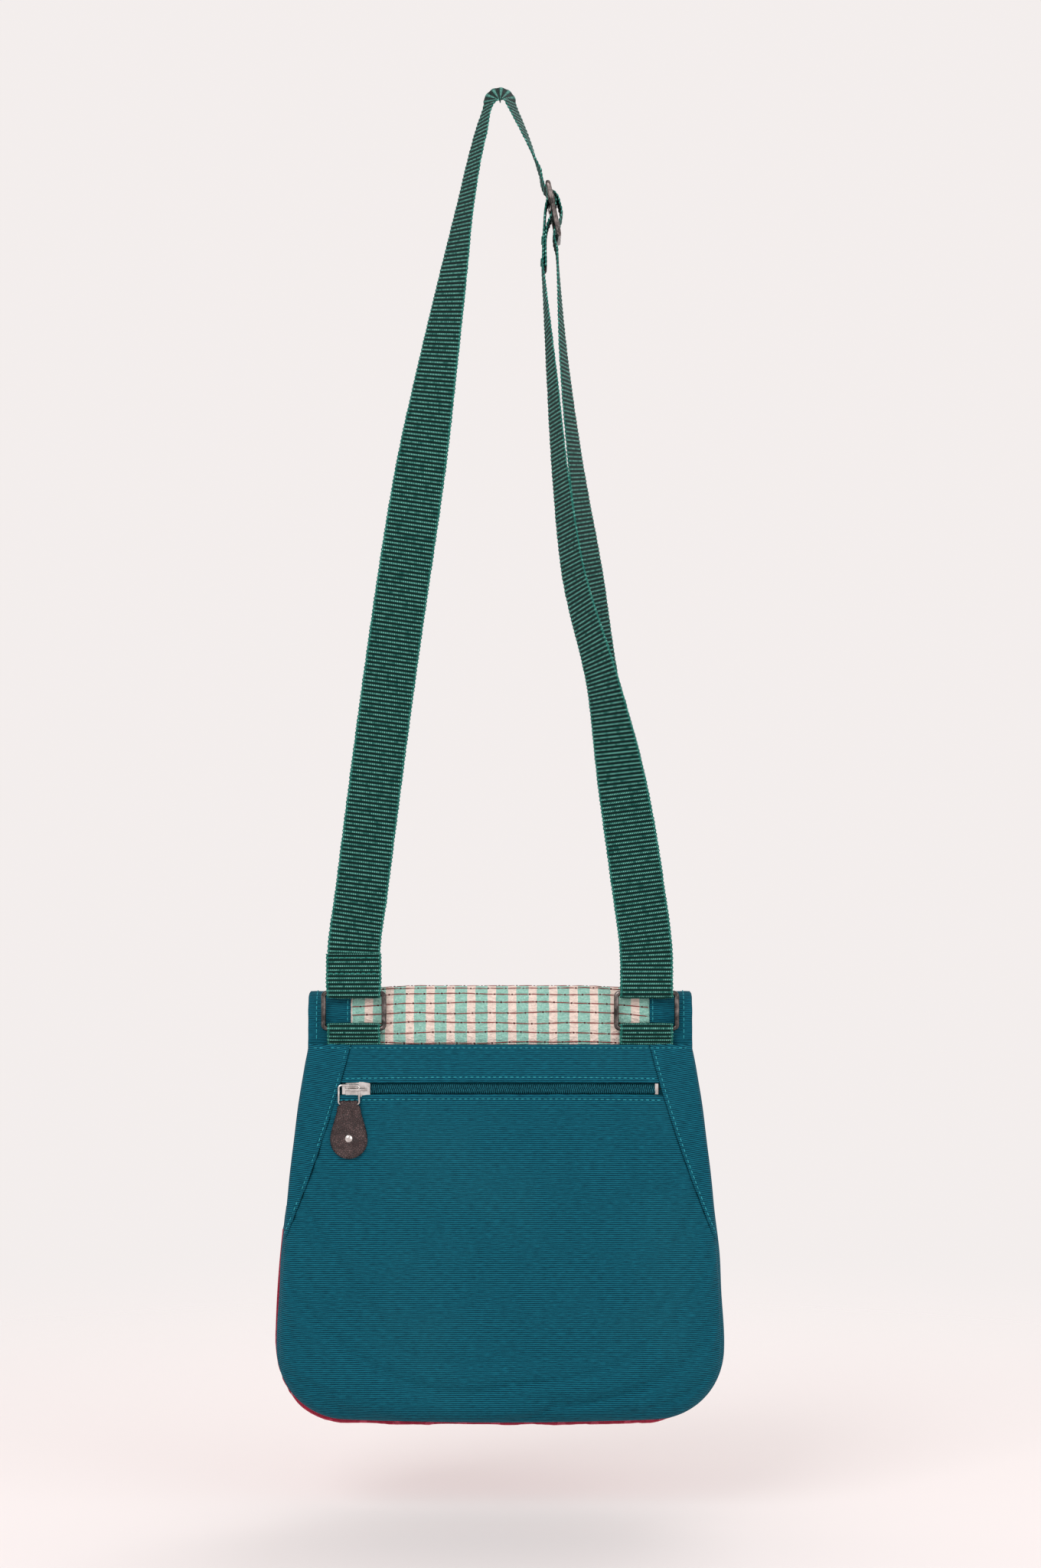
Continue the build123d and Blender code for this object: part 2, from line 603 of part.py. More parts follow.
def flap_fold():
    """The fold over the mouth, which straightens as the flap opens."""
    outer = [(FOLD_Y - FOLD_RADIUS, FOLD_Z), (FOLD_Y, FOLD_Z + FOLD_RADIUS), front_point(FOLD_RADIUS, 0)]
    inner = [(FOLD_Y - FLAP_INSIDE, FOLD_Z), (FOLD_Y, FOLD_Z + FLAP_INSIDE), front_point(FLAP_INSIDE, 0)]
    face = face_of(
        ThreePointArc(*outer),
        Line(outer[2], inner[2]),
        ThreePointArc(*reversed(inner)),
        Line(inner[0], outer[0]),
    )
    half = BAG_TOP_WIDTH / 2 - FLAP_SIDE_GAP
    write("flap_fold", on_yz(face, -half, half))


def flap():
    shape = on_xz(outline(reach=FLAP_REACH), -20, 120)
    cloth = shape & front_slab(FOLD_RADIUS - FLAP_OUTER, FOLD_RADIUS)
    left = on_xz(side_region(-1), -20, 120)
    right = on_xz(side_region(1), -20, 120)
    write("flap_side_left", cloth & left)
    write("flap_side_right", cloth & right)
    write("flap_outer_centre", cloth - left - right)
    hole = snap_hole()
    wadding = shape & front_slab(FLAP_INSIDE + FLAP_LINING, FOLD_RADIUS - FLAP_OUTER)
    write("flap_wadding", wadding - hole)
    lining_sheet = shape & front_slab(FLAP_INSIDE, FLAP_INSIDE + FLAP_LINING)
    write("flap_lining", lining_sheet - hole)


# ---------------------------------------------------------------- snap
SNAP_DOWN = (FOLD_Z - SNAP_Z) / cos(SLOPE)


def snap_disc(radius, inner, outer, bore=0.0):
    """A round plate on the snap's axis, between two distances from the fold's axis."""
    y, z = front_point(inner, SNAP_DOWN)
    plane = Plane(origin=(0, y, z), x_dir=(1, 0, 0), z_dir=(0, cos(SLOPE), sin(SLOPE)))
    disc = Circle(radius) - Circle(bore) if bore else Circle(radius)
    return extrude(plane * disc, amount=outer - inner)


def snap_hole():
    """Room for the snap through the cloth on both sides."""
    near = FRONT_FACE - SOCKET_DEPTH - SNAP_WASHER - SNAP_GAP
    return snap_disc(SNAP_RADIUS + SNAP_GAP, near, FOLD_RADIUS - FLAP_OUTER)


def snap():
    back = FRONT_FACE - SOCKET_DEPTH
    well = snap_disc(SNAP_HOLE, back + SOCKET_FLOOR, FRONT_FACE + 1)
    write("snap_socket", snap_disc(SNAP_RADIUS, back, FRONT_FACE + SOCKET_PROUD) - well)
    write("snap_socket_washer", snap_disc(SNAP_RADIUS, back - SNAP_WASHER, back))
    plate_top = FLAP_INSIDE + SNAP_PLATE
    plate = snap_disc(SNAP_RADIUS, FLAP_INSIDE, plate_top)
    pin = snap_disc(SNAP_PIN, back + PIN_SHORT, FLAP_INSIDE)
    write("snap_stud", plate + pin)
    write("snap_stud_washer", snap_disc(SNAP_RADIUS, plate_top, plate_top + SNAP_WASHER))


# ---------------------------------------------------------------- zip
TAPE_Y = 2 * LAYER_CLEARANCE
COIL_FACE = TAPE_Y - COIL_HEIGHT
SLIDER_FACE = COIL_FACE - PLATE_GAP  # inside of the slider's front plate
SLIDER_OUT = SLIDER_FACE - PLATE
BAR_Y = SLIDER_OUT - BRIDGE_GAP - BRIDGE_BAR
PULL_Y = BAR_Y + BRIDGE_BAR + PULL_WIRE + PULL_BAR_GAP
SLIDER_REST = -ZIP_HALF + STOP_GAP + STOP_LENGTH + STOP_GAP
CHAIN_START = SLIDER_REST + POST_LENGTH + 4 * STOP_GAP
CHAIN_END = ZIP_HALF - STOP_GAP - STOP_LENGTH


def zip_chain():
    for name, s in (("zip_tape_upper", 1), ("zip_tape_lower", -1)):
        z = sorted((ZIP_Z + s * TAPE_EDGE, ZIP_Z + s * (TAPE_EDGE + TAPE_WIDTH)))
        write(name, block((-ZIP_HALF - TAPE_PAST, ZIP_HALF + TAPE_PAST), (TAPE_Y, TAPE_Y + TAPE), z))
    for name, s in (("zip_coil_upper", 1), ("zip_coil_lower", -1)):
        z = sorted((ZIP_Z, ZIP_Z + s * COIL_HALF_WIDTH))
        write(name, block((CHAIN_START, CHAIN_END), (COIL_FACE, TAPE_Y), z))
    y = (COIL_FACE + STOP_LOW, TAPE_Y)
    z = (ZIP_Z - COIL_HALF_WIDTH, ZIP_Z + COIL_HALF_WIDTH)
    stops = [
        block((start, start + STOP_LENGTH), y, z)
        for start in (-ZIP_HALF + STOP_GAP, CHAIN_END + STOP_GAP / 2)
    ]
    write("zip_end_stops", Compound(stops))


def slider():
    """Front and rear plates joined by a post at the nose, and a bridge over the front."""
    start, end = SLIDER_REST, SLIDER_REST + SLIDER_LENGTH
    nose, tail = start + SLIDER_NOSE, end - SLIDER_TAIL
    half = SLIDER_WIDTH / 2
    narrow = half - SLIDER_TAPER
    side = [(start, narrow), (nose, half), (tail, half), (end, narrow)]
    other_side = [(x, -z) for x, z in reversed(side)]
    plate = make_face(Polyline(*side, *other_side, close=True))
    body = on_xz(Pos(0, ZIP_Z) * plate, SLIDER_OUT, SLIDER_FACE)
    rear_y = TAPE_Y + TAPE + PLATE_GAP
    middle_z = (ZIP_Z - narrow, ZIP_Z + narrow)
    body = body + block((start + FLANGE_IN, end), (rear_y, rear_y + REAR_PLATE), middle_z)
    post_z = (ZIP_Z - POST_WIDTH / 2, ZIP_Z + POST_WIDTH / 2)
    body = body + block((start + FLANGE_IN, start + POST_LENGTH), (SLIDER_FACE, rear_y), post_z)
    for s in (-1, 1):
        z = ZIP_Z + s * (half - FLANGE_IN)
        across = (z - FLANGE / 2, z + FLANGE / 2)
        body = body + block((nose, end - FLANGE), (SLIDER_FACE, -CANVAS - FLANGE_GAP), across)
    bar_z = (ZIP_Z - BRIDGE_BAR, ZIP_Z + BRIDGE_BAR)
    for x in (start + BRIDGE_BAR, end - BRIDGE_BACK):
        body = body + block((x - BRIDGE_BAR, x + BRIDGE_BAR), (BAR_Y, SLIDER_OUT), bar_z)
    length = SLIDER_LENGTH - BRIDGE_BACK + BRIDGE_BAR
    plane = Plane(origin=(start + length / 2, BAR_Y, ZIP_Z), x_dir=(0, 1, 0), z_dir=(1, 0, 0))
    write("zip_slider", body + plane * Cylinder(BRIDGE_BAR, length))


PULL_FOOT = ZIP_Z - PULL_DROP
PULL_MIDDLE = SLIDER_REST + PULL_OVERLAP - PULL_WIDTH / 2
TAB_TOP = PULL_FOOT - TAB_SHOULDER
RIVET_Z = TAB_TOP - RIVET_DOWN


def pull():
    """Wire ring round the nose of the slider's bridge, and a folded leather tab on the ring."""
    top = ZIP_Z + PULL_RISE
    middle = (PULL_MIDDLE, PULL_Y, (top + PULL_FOOT) / 2)
    plane = Plane(origin=middle, x_dir=(1, 0, 0), z_dir=(0, -1, 0))
    loop = RectangleRounded(PULL_WIDTH, top - PULL_FOOT, PULL_CORNER)
    write("pull_ring", wire_loop(plane, loop, PULL_WIRE))
    centre = (PULL_MIDDLE, RIVET_Z)
    bore = on_xz(Pos(*centre) * Circle(RIVET_SHANK), -40, 5)
    write("leather_tab", (tab_side() & on_xz(tab_outline(), -40, 5)) - bore)
    near, far = PULL_Y - TAB_LAYER, PULL_Y + TAB_LAYER
    rivet = on_xz(Pos(*centre) * Circle(RIVET_SHANK), near, far)
    rivet = rivet + on_xz(Pos(*centre) * Circle(RIVET_RADIUS), near - RIVET_HEAD, near)
    rivet = rivet + on_xz(Pos(*centre) * Circle(RIVET_RADIUS), far, far + RIVET_HEAD)
    write("tab_rivet", rivet)


def tab_side():
    """The tab from its side: two layers that meet below the ring's wire."""
    hole = PULL_WIRE + TAB_HOLE_GAP
    centre = (PULL_Y, PULL_FOOT)
    tip = (PULL_Y, PULL_FOOT - 5)
    foot = TAB_TOP - TAB_LENGTH
    layers = Pos(PULL_Y, (PULL_FOOT + foot) / 2) * Rectangle(2 * TAB_LAYER, PULL_FOOT - foot)
    head = Pos(*centre) * Circle(hole + TAB_LAYER)
    return on_yz(head + layers - teardrop(centre, hole, tip), -BIG / 4, BIG / 4)


def tab_outline():
    """The tab from its front: a neck inside the ring, shoulders below its wire, and a round foot."""
    foot = TAB_TOP - TAB_LENGTH
    wide_z = foot + TAB_WIDTH / 2
    neck, half_top, half = TAB_NECK / 2, TAB_TOP_WIDTH / 2, TAB_WIDTH / 2
    above = PULL_FOOT + 5
    edges = [Line((-neck, above), (neck, above))]
    for s in (1, -1):
        middle = (s * mix(half_top, half, 0.55), mix(TAB_TOP, wide_z, 0.45))
        edges.append(Line((s * neck, above), (s * neck, TAB_TOP)))
        edges.append(Line((s * neck, TAB_TOP), (s * half_top, TAB_TOP)))
        edges.append(ThreePointArc((s * half_top, TAB_TOP), middle, (s * half, wide_z)))
    edges.append(ThreePointArc((-half, wide_z), (0, foot), (half, wide_z)))
    return Pos(PULL_MIDDLE, 0) * make_face(edges)


strap()
adjuster()
rings()
bag_shell()
lining()
zip_pocket()
top_seam()
flap_back()
flap_fold()
flap()
snap()
zip_chain()
slider()
pull()
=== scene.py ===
"""Looks of the crossbody purse: canvas bag, patchwork flap, ribbed webbing strap and small metal parts.

Lengths are in millimetres until a mesh is made. +Z is up, -Y is the side with the zip, +Y the flap's side.
"""

import json
from math import acos, ceil, cos, hypot, pi, radians, sin, tan

import bpy
import numpy as np
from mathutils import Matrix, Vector
from mathutils.bvhtree import BVHTree


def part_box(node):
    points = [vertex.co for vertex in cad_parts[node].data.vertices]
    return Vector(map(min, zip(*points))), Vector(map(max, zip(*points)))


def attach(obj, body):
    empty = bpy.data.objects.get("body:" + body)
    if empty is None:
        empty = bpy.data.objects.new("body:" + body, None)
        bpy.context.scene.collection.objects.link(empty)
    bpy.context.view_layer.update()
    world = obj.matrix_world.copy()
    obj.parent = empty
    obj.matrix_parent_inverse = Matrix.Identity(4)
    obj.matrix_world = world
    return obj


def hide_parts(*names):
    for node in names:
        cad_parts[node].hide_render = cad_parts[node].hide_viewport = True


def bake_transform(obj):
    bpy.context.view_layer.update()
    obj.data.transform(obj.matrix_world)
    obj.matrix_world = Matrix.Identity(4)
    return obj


MM = 0.001
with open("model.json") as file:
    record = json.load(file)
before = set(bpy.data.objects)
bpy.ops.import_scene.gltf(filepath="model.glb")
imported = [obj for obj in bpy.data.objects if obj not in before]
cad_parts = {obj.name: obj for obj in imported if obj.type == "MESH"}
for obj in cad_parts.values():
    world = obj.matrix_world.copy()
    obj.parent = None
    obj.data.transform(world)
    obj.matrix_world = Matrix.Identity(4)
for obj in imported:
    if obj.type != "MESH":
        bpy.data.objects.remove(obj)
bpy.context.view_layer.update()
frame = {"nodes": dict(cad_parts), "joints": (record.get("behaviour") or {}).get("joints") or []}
joints = {joint["name"]: joint for joint in frame["joints"]}


def span(node):
    """Lowest and highest corner of a CAD node, in millimetres."""
    low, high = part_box(node)
    return low / MM, high / MM


def across(node, axis):
    """Size of a CAD node along one axis, in millimetres."""
    low, high = span(node)
    return high[axis] - low[axis]


# ---------------------------------------------------------------- sizes taken from the frame
X, Y, Z = 0, 1, 2
RING_WIRE = across("ring_left", Y)
RING_X = sum(corner.x for corner in span("ring_right")) / 2
RING_TOP_Z = joints["ring_swing"]["pos_m"][2] / MM
RING_LOW_Z = joints["bag_swing"]["pos_m"][2] / MM
WEB_WIDTH = across("ring_tab_left", X)
TOP_SEAM = span("back_yoke")[1].z
HALF_TOP = span("flap_fold")[1].x + 0.4
HALF_LOW = span("gusset")[1].x
BOTTOM = span("gusset")[0].z
MOUTH = span("gusset")[1].z
FOLD_Y = joints["flap_hinge"]["pos_m"][1] / MM
FOLD_Z = joints["flap_hinge"]["pos_m"][2] / MM
FLAP_BACK_Y = span("flap_back_centre")[0].y
FLAP_FOOT = span("flap_back_centre")[0].z
FOLD_RADIUS = FOLD_Y - FLAP_BACK_Y
FLAP_REACH = span("flap_lining")[1].x - HALF_LOW
ZIP_Z = sum(corner.z for corner in span("zip_coil_upper") + span("zip_coil_lower")) / 4
ZIP_START, ZIP_END = span("zip_coil_upper")[0].x, span("zip_coil_upper")[1].x
LOOP_NECK = 12.0

# ---------------------------------------------------------------- sizes of the soft parts
WEB_THICK = 1.5
RIB = 2.3  # pitch of the webbing's ribs
RIB_DEPTH = 0.42
LAYER_Y = 0.775  # from the middle of two layers of webbing to the middle of one
LOOP_RADIUS = RING_WIRE / 2 + 0.3 + WEB_THICK / 2
WIDEST_DOWN = 169.0
SIDE_BOW = 3.0
BOTTOM_CORNER = 38.0
SEAM_X = 84.0
SEAM_FOOT_DOWN = 109.0
SEAM_BOW = 2.3
CANVAS = 1.0
SLOPE = radians(4.8)
FLAP_THICK = 2.1  # outer cloth and wadding
FLAP_LINING = 0.9
FRONT_FACE = 9.6  # from the flap's axis to the outside of the bag's front
ZIP_HALF_WINDOW = 3.65
ZIP_BOW = 0.7  # how much higher the canvas edges run in the middle of the zip
KANTHA = 5.6  # between rows of running stitch
KNOTS = 9.9  # between stitches in a row
STRIPE_SHIFT = 4.3
FIRST_ROW = 1.4  # along the flap's cloth, to its first row of running stitch
QUILT_DEPTH = 0.42  # how far the rows of stitches sink the quilted cloth
BINDING = 7.0  # width of the crimson edge
WHITE_PITCH = 7.4
WHITE_LENGTH = 4.4  # of the white running stitches
FOLD_DROOP = 3.0  # of the fold's ends
FLAP_LIFT = 0.3
FLAP_HANG = 7.0  # how much lower the flap's hem hangs than the bag's own bottom edge
FLAP_SWAY = 3.0  # how far the flap hangs to one side
LINING_BACK_Y = 7.2
LINING_INSET = 4.5  # of the flap's lining from its lower edge
BACK_FULLNESS = 3.5  # most that the settled cloth adds to the bag's back
FLAP_FULLNESS = 2.4
SEAM_LAP = 0.35  # between a side seam and the cloth beside it
SEAM_DIP = 0.7  # how far a panel's edge sinks along a side seam
FRONT_ROWS = 260  # of the patchwork's grid on its front
CANVAS_PITCH = 3.2
CANVAS_LENGTH = 2.0  # of the topstitches in the canvas
STITCH_SIDES = 7
STITCH_DIP = 0.4  # of a topstitch's ends below the canvas
EDGE_TIGHT = 3.0  # radius of the bag's edge beside the zip
EDGE_FULLER = 8.0  # how much more it is at the bottom
EDGE_LEVELS = (-590.0, -730.0)  # z where it starts to grow and where it has grown
GUSSET_LEVELS = (-560.0, -720.0)  # z between which the gusset fills out
POUCH_LEVELS = (-690.0, -741.0)  # z between which the lining's pouch narrows
POUCH_GAP = 2.4  # between the pouch and the bag's sides
POUCH_THICK = 0.5
POCKET_THICK = 0.7
KNOT_GAP = 0.7  # in a row, where the thread dips at a knot
SNAP_HOLLOW = (11.0, 9.2)  # distances from the snap where the front's dimple starts and is full
CRIMSON = (0.42, 0.020, 0.055)
FLOOR_DOWN = 56.0  # from the bag's bottom to the floor
SNAP_X, _, SNAP_Z = (sum(corner[k] for corner in span("snap_stud")) / 2 for k in (X, Y, Z))


def mix(low, high, share):
    """The value that share of the way from low to high."""
    return low + (high - low) * share


def smooth(low, high, value):
    """0 below low, 1 above high, and a smooth step between."""
    t = np.clip((value - low) / (high - low), 0, 1)
    return t * t * (3 - 2 * t)


def together(*parts):
    """Points or other rows made from their parts, which may be single numbers."""
    return np.stack(np.broadcast_arrays(*parts), -1)


def lengths_along(line):
    """The length along a line of points, at each of them."""
    return np.concatenate([[0], np.cumsum(np.linalg.norm(np.diff(line, axis=0), axis=1))])


def ripple(a, b, size, seed=0.0):
    """Smooth irregular waves of about that size, between -1 and 1."""
    k = 2 * pi / size
    total = np.sin(k * (0.93 * a + 0.31 * b) + 1.3 + seed)
    total = total + np.sin(k * (0.37 * a - 1.07 * b) + 4.1 + 2.3 * seed)
    total = total + np.sin(k * (1.41 * a + 0.83 * b) + 2.2 + 0.7 * seed)
    return total / 3


# ---------------------------------------------------------------- shaders
class Shader:
    """Builds one node material around its Principled shader."""

    def __init__(self, name, roughness=0.6, metallic=0.0, specular=0.5):
        self.material = bpy.data.materials.new(name)
        self.material.use_nodes = True
        self.tree = self.material.node_tree
        self.surface = self.tree.nodes["Principled BSDF"]
        self.surface.inputs["Roughness"].default_value = roughness
        self.surface.inputs["Metallic"].default_value = metallic
        self.surface.inputs["Specular IOR Level"].default_value = specular

    def node(self, kind, settings=(), inputs=()):
        """A node with its settings, and its inputs: each a value or another node's output."""
        made = self.tree.nodes.new(kind)
        for key, value in dict(settings).items():
            setattr(made, key, value)
        for key, value in dict(inputs).items():
            if isinstance(value, bpy.types.NodeSocket):
                self.tree.links.new(value, made.inputs[key])
            else:
                made.inputs[key].default_value = value
        return made

    def math(self, operation, *values):
        made = self.node("ShaderNodeMath", {"operation": operation}, dict(enumerate(values)))
        return made.outputs[0]

    def times(self, first, second):
        return self.math("MULTIPLY", first, second)

    def band(self, value, low, high):
        """0 to 1 as value goes from low to high."""
        inputs = {"Value": value, "From Min": low, "From Max": high}
        return self.node("ShaderNodeMapRange", {"interpolation_type": "SMOOTHSTEP"}, inputs).outputs[0]

    def blend(self, factor, first, second, mode="MIX"):
        made = self.node("ShaderNodeMix", {"data_type": "RGBA", "blend_type": mode})
        for key, value in ((0, factor), (6, first), (7, second)):
            if isinstance(value, bpy.types.NodeSocket):
                self.tree.links.new(value, made.inputs[key])
            elif key:
                made.inputs[key].default_value = (*value, 1)
            else:
                made.inputs[key].default_value = value
        return made.outputs[2]

    def cloth_uv(self):
        """Millimetres across and along the cloth."""
        place = self.node("ShaderNodeUVMap", {"uv_map": "cloth"}).outputs[0]
        parts = self.node("ShaderNodeSeparateXYZ", (), {0: place})
        return self.times(parts.outputs[0], 1000), self.times(parts.outputs[1], 1000)

    def place(self):
        """The point on the object, in metres."""
        return self.node("ShaderNodeTexCoord").outputs["Object"]

    def join(self, a, b, c=0.0):
        return self.node("ShaderNodeCombineXYZ", (), {0: a, 1: b, 2: c}).outputs[0]

    def noise(self, vector, scale, detail=3.0, roughness=0.55):
        inputs = {"Vector": vector, "Scale": scale, "Detail": detail, "Roughness": roughness}
        return self.node("ShaderNodeTexNoise", (), inputs).outputs[0]

    def cloth_noise(self, u, v, across, along, detail=3.0, roughness=0.55):
        """Noise laid out on the cloth, so fine across it and so fine along it."""
        return self.noise(self.join(self.times(u, across), self.times(v, along)), 1.0, detail, roughness)

    def wave(self, value, pitch):
        """Between 0 and 1, highest at whole pitches."""
        turned = self.times(value, 2 * pi / pitch)
        return self.math("MULTIPLY_ADD", self.math("COSINE", turned), 0.5, 0.5)

    def bump(self, height, depth, before=None):
        """Height between 0 and 1, with its depth in millimetres."""
        inputs = {"Height": height, "Distance": depth * MM, "Strength": 1.0}
        if before is not None:
            inputs["Normal"] = before
        return self.node("ShaderNodeBump", (), inputs).outputs[0]

    def colour(self, value):
        self.connect(value, "Base Color")

    def normal(self, value):
        self.connect(value, "Normal")

    def connect(self, value, name):
        self.tree.links.new(value, self.surface.inputs[name])

    def sheen(self, weight, tint, roughness=0.4):
        self.surface.inputs["Sheen Weight"].default_value = weight
        self.surface.inputs["Sheen Roughness"].default_value = roughness
        self.surface.inputs["Sheen Tint"].default_value = (*tint, 1)


def canvas_material(name, deep, raised, fade):
    """Ribbed cotton canvas: fine ribs across the cloth, with slubs and a little wear; darker in the rib
    valleys and lighter on the crests and slubs, painted shade and light mixed with the slubs' own tone.
    """
    s = Shader(name, roughness=0.9, specular=0.1)
    u, v = s.cloth_uv()
    drift = s.cloth_noise(u, v, 0.02, 0.02)
    rib = s.wave(s.math("MULTIPLY_ADD", drift, 0.6, v), 1.1)
    slub = s.cloth_noise(u, v, 0.22, 1.9, 2.0)
    warp = s.wave(u, 0.55)
    thread = s.math("MULTIPLY_ADD", slub, 0.7, s.times(rib, 0.45))
    # painted shade and light: colour darker in the rib valleys and lighter on the crests and slubs, mixed
    # with the slubs' own tone
    base = s.blend(s.band(thread, 0.36, 0.80), deep, raised)
    blotch = s.noise(s.place(), 14.0, 4.0)
    base = s.blend(s.times(s.band(blotch, 0.45, 0.75), 0.08), base, fade)
    s.colour(base)
    weave = s.bump(warp, 0.05)
    weave = s.bump(slub, 0.10, weave)
    s.normal(s.bump(rib, 0.16, weave))
    s.sheen(0.04, fade)
    return s.material


def webbing_material():
    """Ribbed webbing: painted highlights on the warp threads over each rib's crest, painted shade in the dark
    valleys between them, and painted light on the selvedges.
    """
    s = Shader("webbing", roughness=0.7, specular=0.12)
    u, v = s.cloth_uv()
    rib = s.wave(v, RIB)
    number = s.math("ROUND", s.math("DIVIDE", v, RIB))
    slant = s.math("MULTIPLY_ADD", v, 0.35, s.math("MULTIPLY_ADD", number, 0.5, u))
    thread = s.wave(slant, 1.05)
    uneven = s.cloth_noise(u, number, 0.35, 3.7, 2.0)
    crest = s.band(rib, 0.55, 1.0)
    # painted shade: near-black green in the rib valleys, where the ribs shade each other
    base = s.blend(s.band(rib, 0.2, 0.9), (0.001, 0.014, 0.012), (0.008, 0.085, 0.070))
    # painted light: the selvedges are made brighter, standing in for light on the strap's rounded edges
    selvedge_light = s.band(s.math("ABSOLUTE", u), 13.4, 14.8)
    base = s.blend(selvedge_light, base, (0.012, 0.130, 0.105))
    # painted highlight: bright dashes on each rib's crest along the warp threads, broken up at random
    lit = s.times(crest, s.band(thread, 0.35, 0.85))
    lit = s.times(lit, s.band(uneven, 0.30, 0.60))
    s.colour(s.blend(lit, base, (0.20, 0.55, 0.46)))
    s.normal(s.bump(thread, 0.25, s.bump(rib, 0.2)))
    return s.material


def crinkle(s, u, v):
    """The relief of thin cotton crinkled between rows of stitches."""
    wrinkle = s.cloth_noise(u, v, 0.33, 0.55, 4.0, 0.6)
    weave = s.times(s.wave(u, 0.5), s.wave(v, 0.5))
    s.normal(s.bump(wrinkle, 2.2, s.bump(weave, 0.04)))
    return wrinkle


def patchwork_material(first_patch, second_patch, hem, edge):
    """Three cottons pieced one under another: stripes, then crimson, then pink dots, with a crimson hem."""
    s = Shader("patchwork", roughness=0.8, specular=0.25)
    u, v = s.cloth_uv()
    wobble = s.cloth_noise(u, v, 0.1, 0.15)
    across_stripes = s.math("ADD", s.math("MULTIPLY_ADD", wobble, 0.9, u), STRIPE_SHIFT)
    cream = s.band(s.wave(across_stripes, 11.5), 0.60, 0.68)
    worn = s.cloth_noise(u, v, 0.9, 0.9, 3.0)
    mint = s.blend(s.band(worn, 0.45, 0.7), (0.29, 0.58, 0.49), (0.42, 0.70, 0.60))
    pale = s.blend(s.band(worn, 0.5, 0.75), (0.90, 0.73, 0.64), (0.95, 0.84, 0.75))
    stripes = s.blend(cream, mint, pale)
    leaf = s.wave(s.math("MULTIPLY_ADD", v, 0.5, u), 19.0)
    leaf = s.times(leaf, s.wave(s.math("MULTIPLY_ADD", v, -0.5, u), 19.0))
    crimson = s.blend(s.band(leaf, 0.55, 0.6), CRIMSON, (0.55, 0.06, 0.11))
    dots = s.times(s.wave(u, 9.0), s.wave(v, 9.0))
    pink = s.blend(s.band(dots, 0.72, 0.78), (0.70, 0.27, 0.30), (0.90, 0.72, 0.62))
    cloth = s.blend(s.math("GREATER_THAN", v, first_patch), stripes, crimson)
    cloth = s.blend(s.math("GREATER_THAN", v, second_patch), cloth, pink)
    cloth = s.blend(s.math("GREATER_THAN", v, hem), cloth, crimson)
    cloth = s.blend(s.math("GREATER_THAN", s.math("ABSOLUTE", u), edge), cloth, CRIMSON)
    wrinkle = crinkle(s, u, v)
    # painted shade: the cloth is darkened in the hollows of its crinkles
    shade = s.blend(s.band(wrinkle, 0.3, 0.7), (0.80, 0.80, 0.80), (1.0, 1.0, 1.0))
    s.colour(s.blend(1.0, cloth, shade, "MULTIPLY"))
    s.sheen(0.1, (0.9, 0.85, 0.8))
    return s.material


def cotton_material(name, colour, second):
    """Plain cotton with soft creases, its colour darker where their relief is low: painted shade."""
    s = Shader(name, roughness=0.85, specular=0.2)
    u, v = s.cloth_uv()
    wrinkle = s.cloth_noise(u, v, 0.06, 0.06, 4.0)
    # painted shade: darker colour where the creases' relief is low
    s.colour(s.blend(s.band(wrinkle, 0.3, 0.7), colour, second))
    weave = s.times(s.wave(u, 0.7), s.wave(v, 0.7))
    s.normal(s.bump(wrinkle, 0.8, s.bump(weave, 0.06)))
    return s.material


def thread_material(name, colour, second):
    """Twisted sewing thread."""
    s = Shader(name, roughness=0.7, specular=0.15)
    place = s.place()
    fibre = s.noise(place, 2600.0, 2.0)
    s.colour(s.blend(s.band(fibre, 0.35, 0.65), colour, second))
    s.normal(s.bump(fibre, 0.08))
    return s.material


def metal_material(name, dark, bright, roughness, wear_scale):
    """Plated metal, worn brighter in patches."""
    s = Shader(name, roughness=roughness, metallic=1.0)
    place = s.place()
    wear = s.noise(place, wear_scale, 5.0, 0.65)
    s.colour(s.blend(s.band(wear, 0.38, 0.66), dark, bright))
    scuffs = s.noise(place, wear_scale * 9, 3.0)
    s.connect(s.math("MULTIPLY_ADD", scuffs, 0.16, roughness - 0.06), "Roughness")
    s.normal(s.bump(scuffs, 0.012))
    return s.material


def leather_material():
    """Dark brown leather with pores, creases and paler rubbed spots."""
    s = Shader("leather", roughness=0.5, specular=0.45)
    place = s.place()
    cells = s.node("ShaderNodeTexVoronoi", {"feature": "DISTANCE_TO_EDGE"}, {"Vector": place, "Scale": 900.0})
    grain = s.band(cells.outputs[0], 0.0, 0.18)
    rub = s.noise(place, 260.0, 5.0, 0.7)
    base = s.blend(s.band(rub, 0.38, 0.68), (0.030, 0.013, 0.013), (0.105, 0.062, 0.060))
    s.colour(s.blend(grain, (0.012, 0.005, 0.005), base))
    s.connect(s.math("MULTIPLY_ADD", rub, 0.35, 0.22), "Roughness")
    s.normal(s.bump(rub, 0.55, s.bump(grain, 0.2)))
    return s.material


def coil_material():
    """Dull nylon."""
    s = Shader("zip_coil", roughness=0.5, specular=0.15)
    tone = s.noise(s.place(), 700.0, 2.0)
    s.colour(s.blend(s.band(tone, 0.35, 0.65), (0.005, 0.078, 0.108), (0.012, 0.135, 0.178)))
    s.normal(s.bump(tone, 0.04))
    return s.material


def tape_material():
    """Herringbone tape beside the coil."""
    s = Shader("zip_tape", roughness=0.85, specular=0.08)
    u, v = s.cloth_uv()
    ridge = s.wave(v, 1.0)
    bone = s.wave(s.math("MULTIPLY_ADD", s.math("PINGPONG", v, 1.0), 1.0, u), 0.9)
    s.colour(s.blend(s.times(bone, ridge), (0.002, 0.050, 0.072), (0.008, 0.108, 0.143)))
    s.normal(s.bump(bone, 0.1, s.bump(ridge, 0.15)))
    return s.material


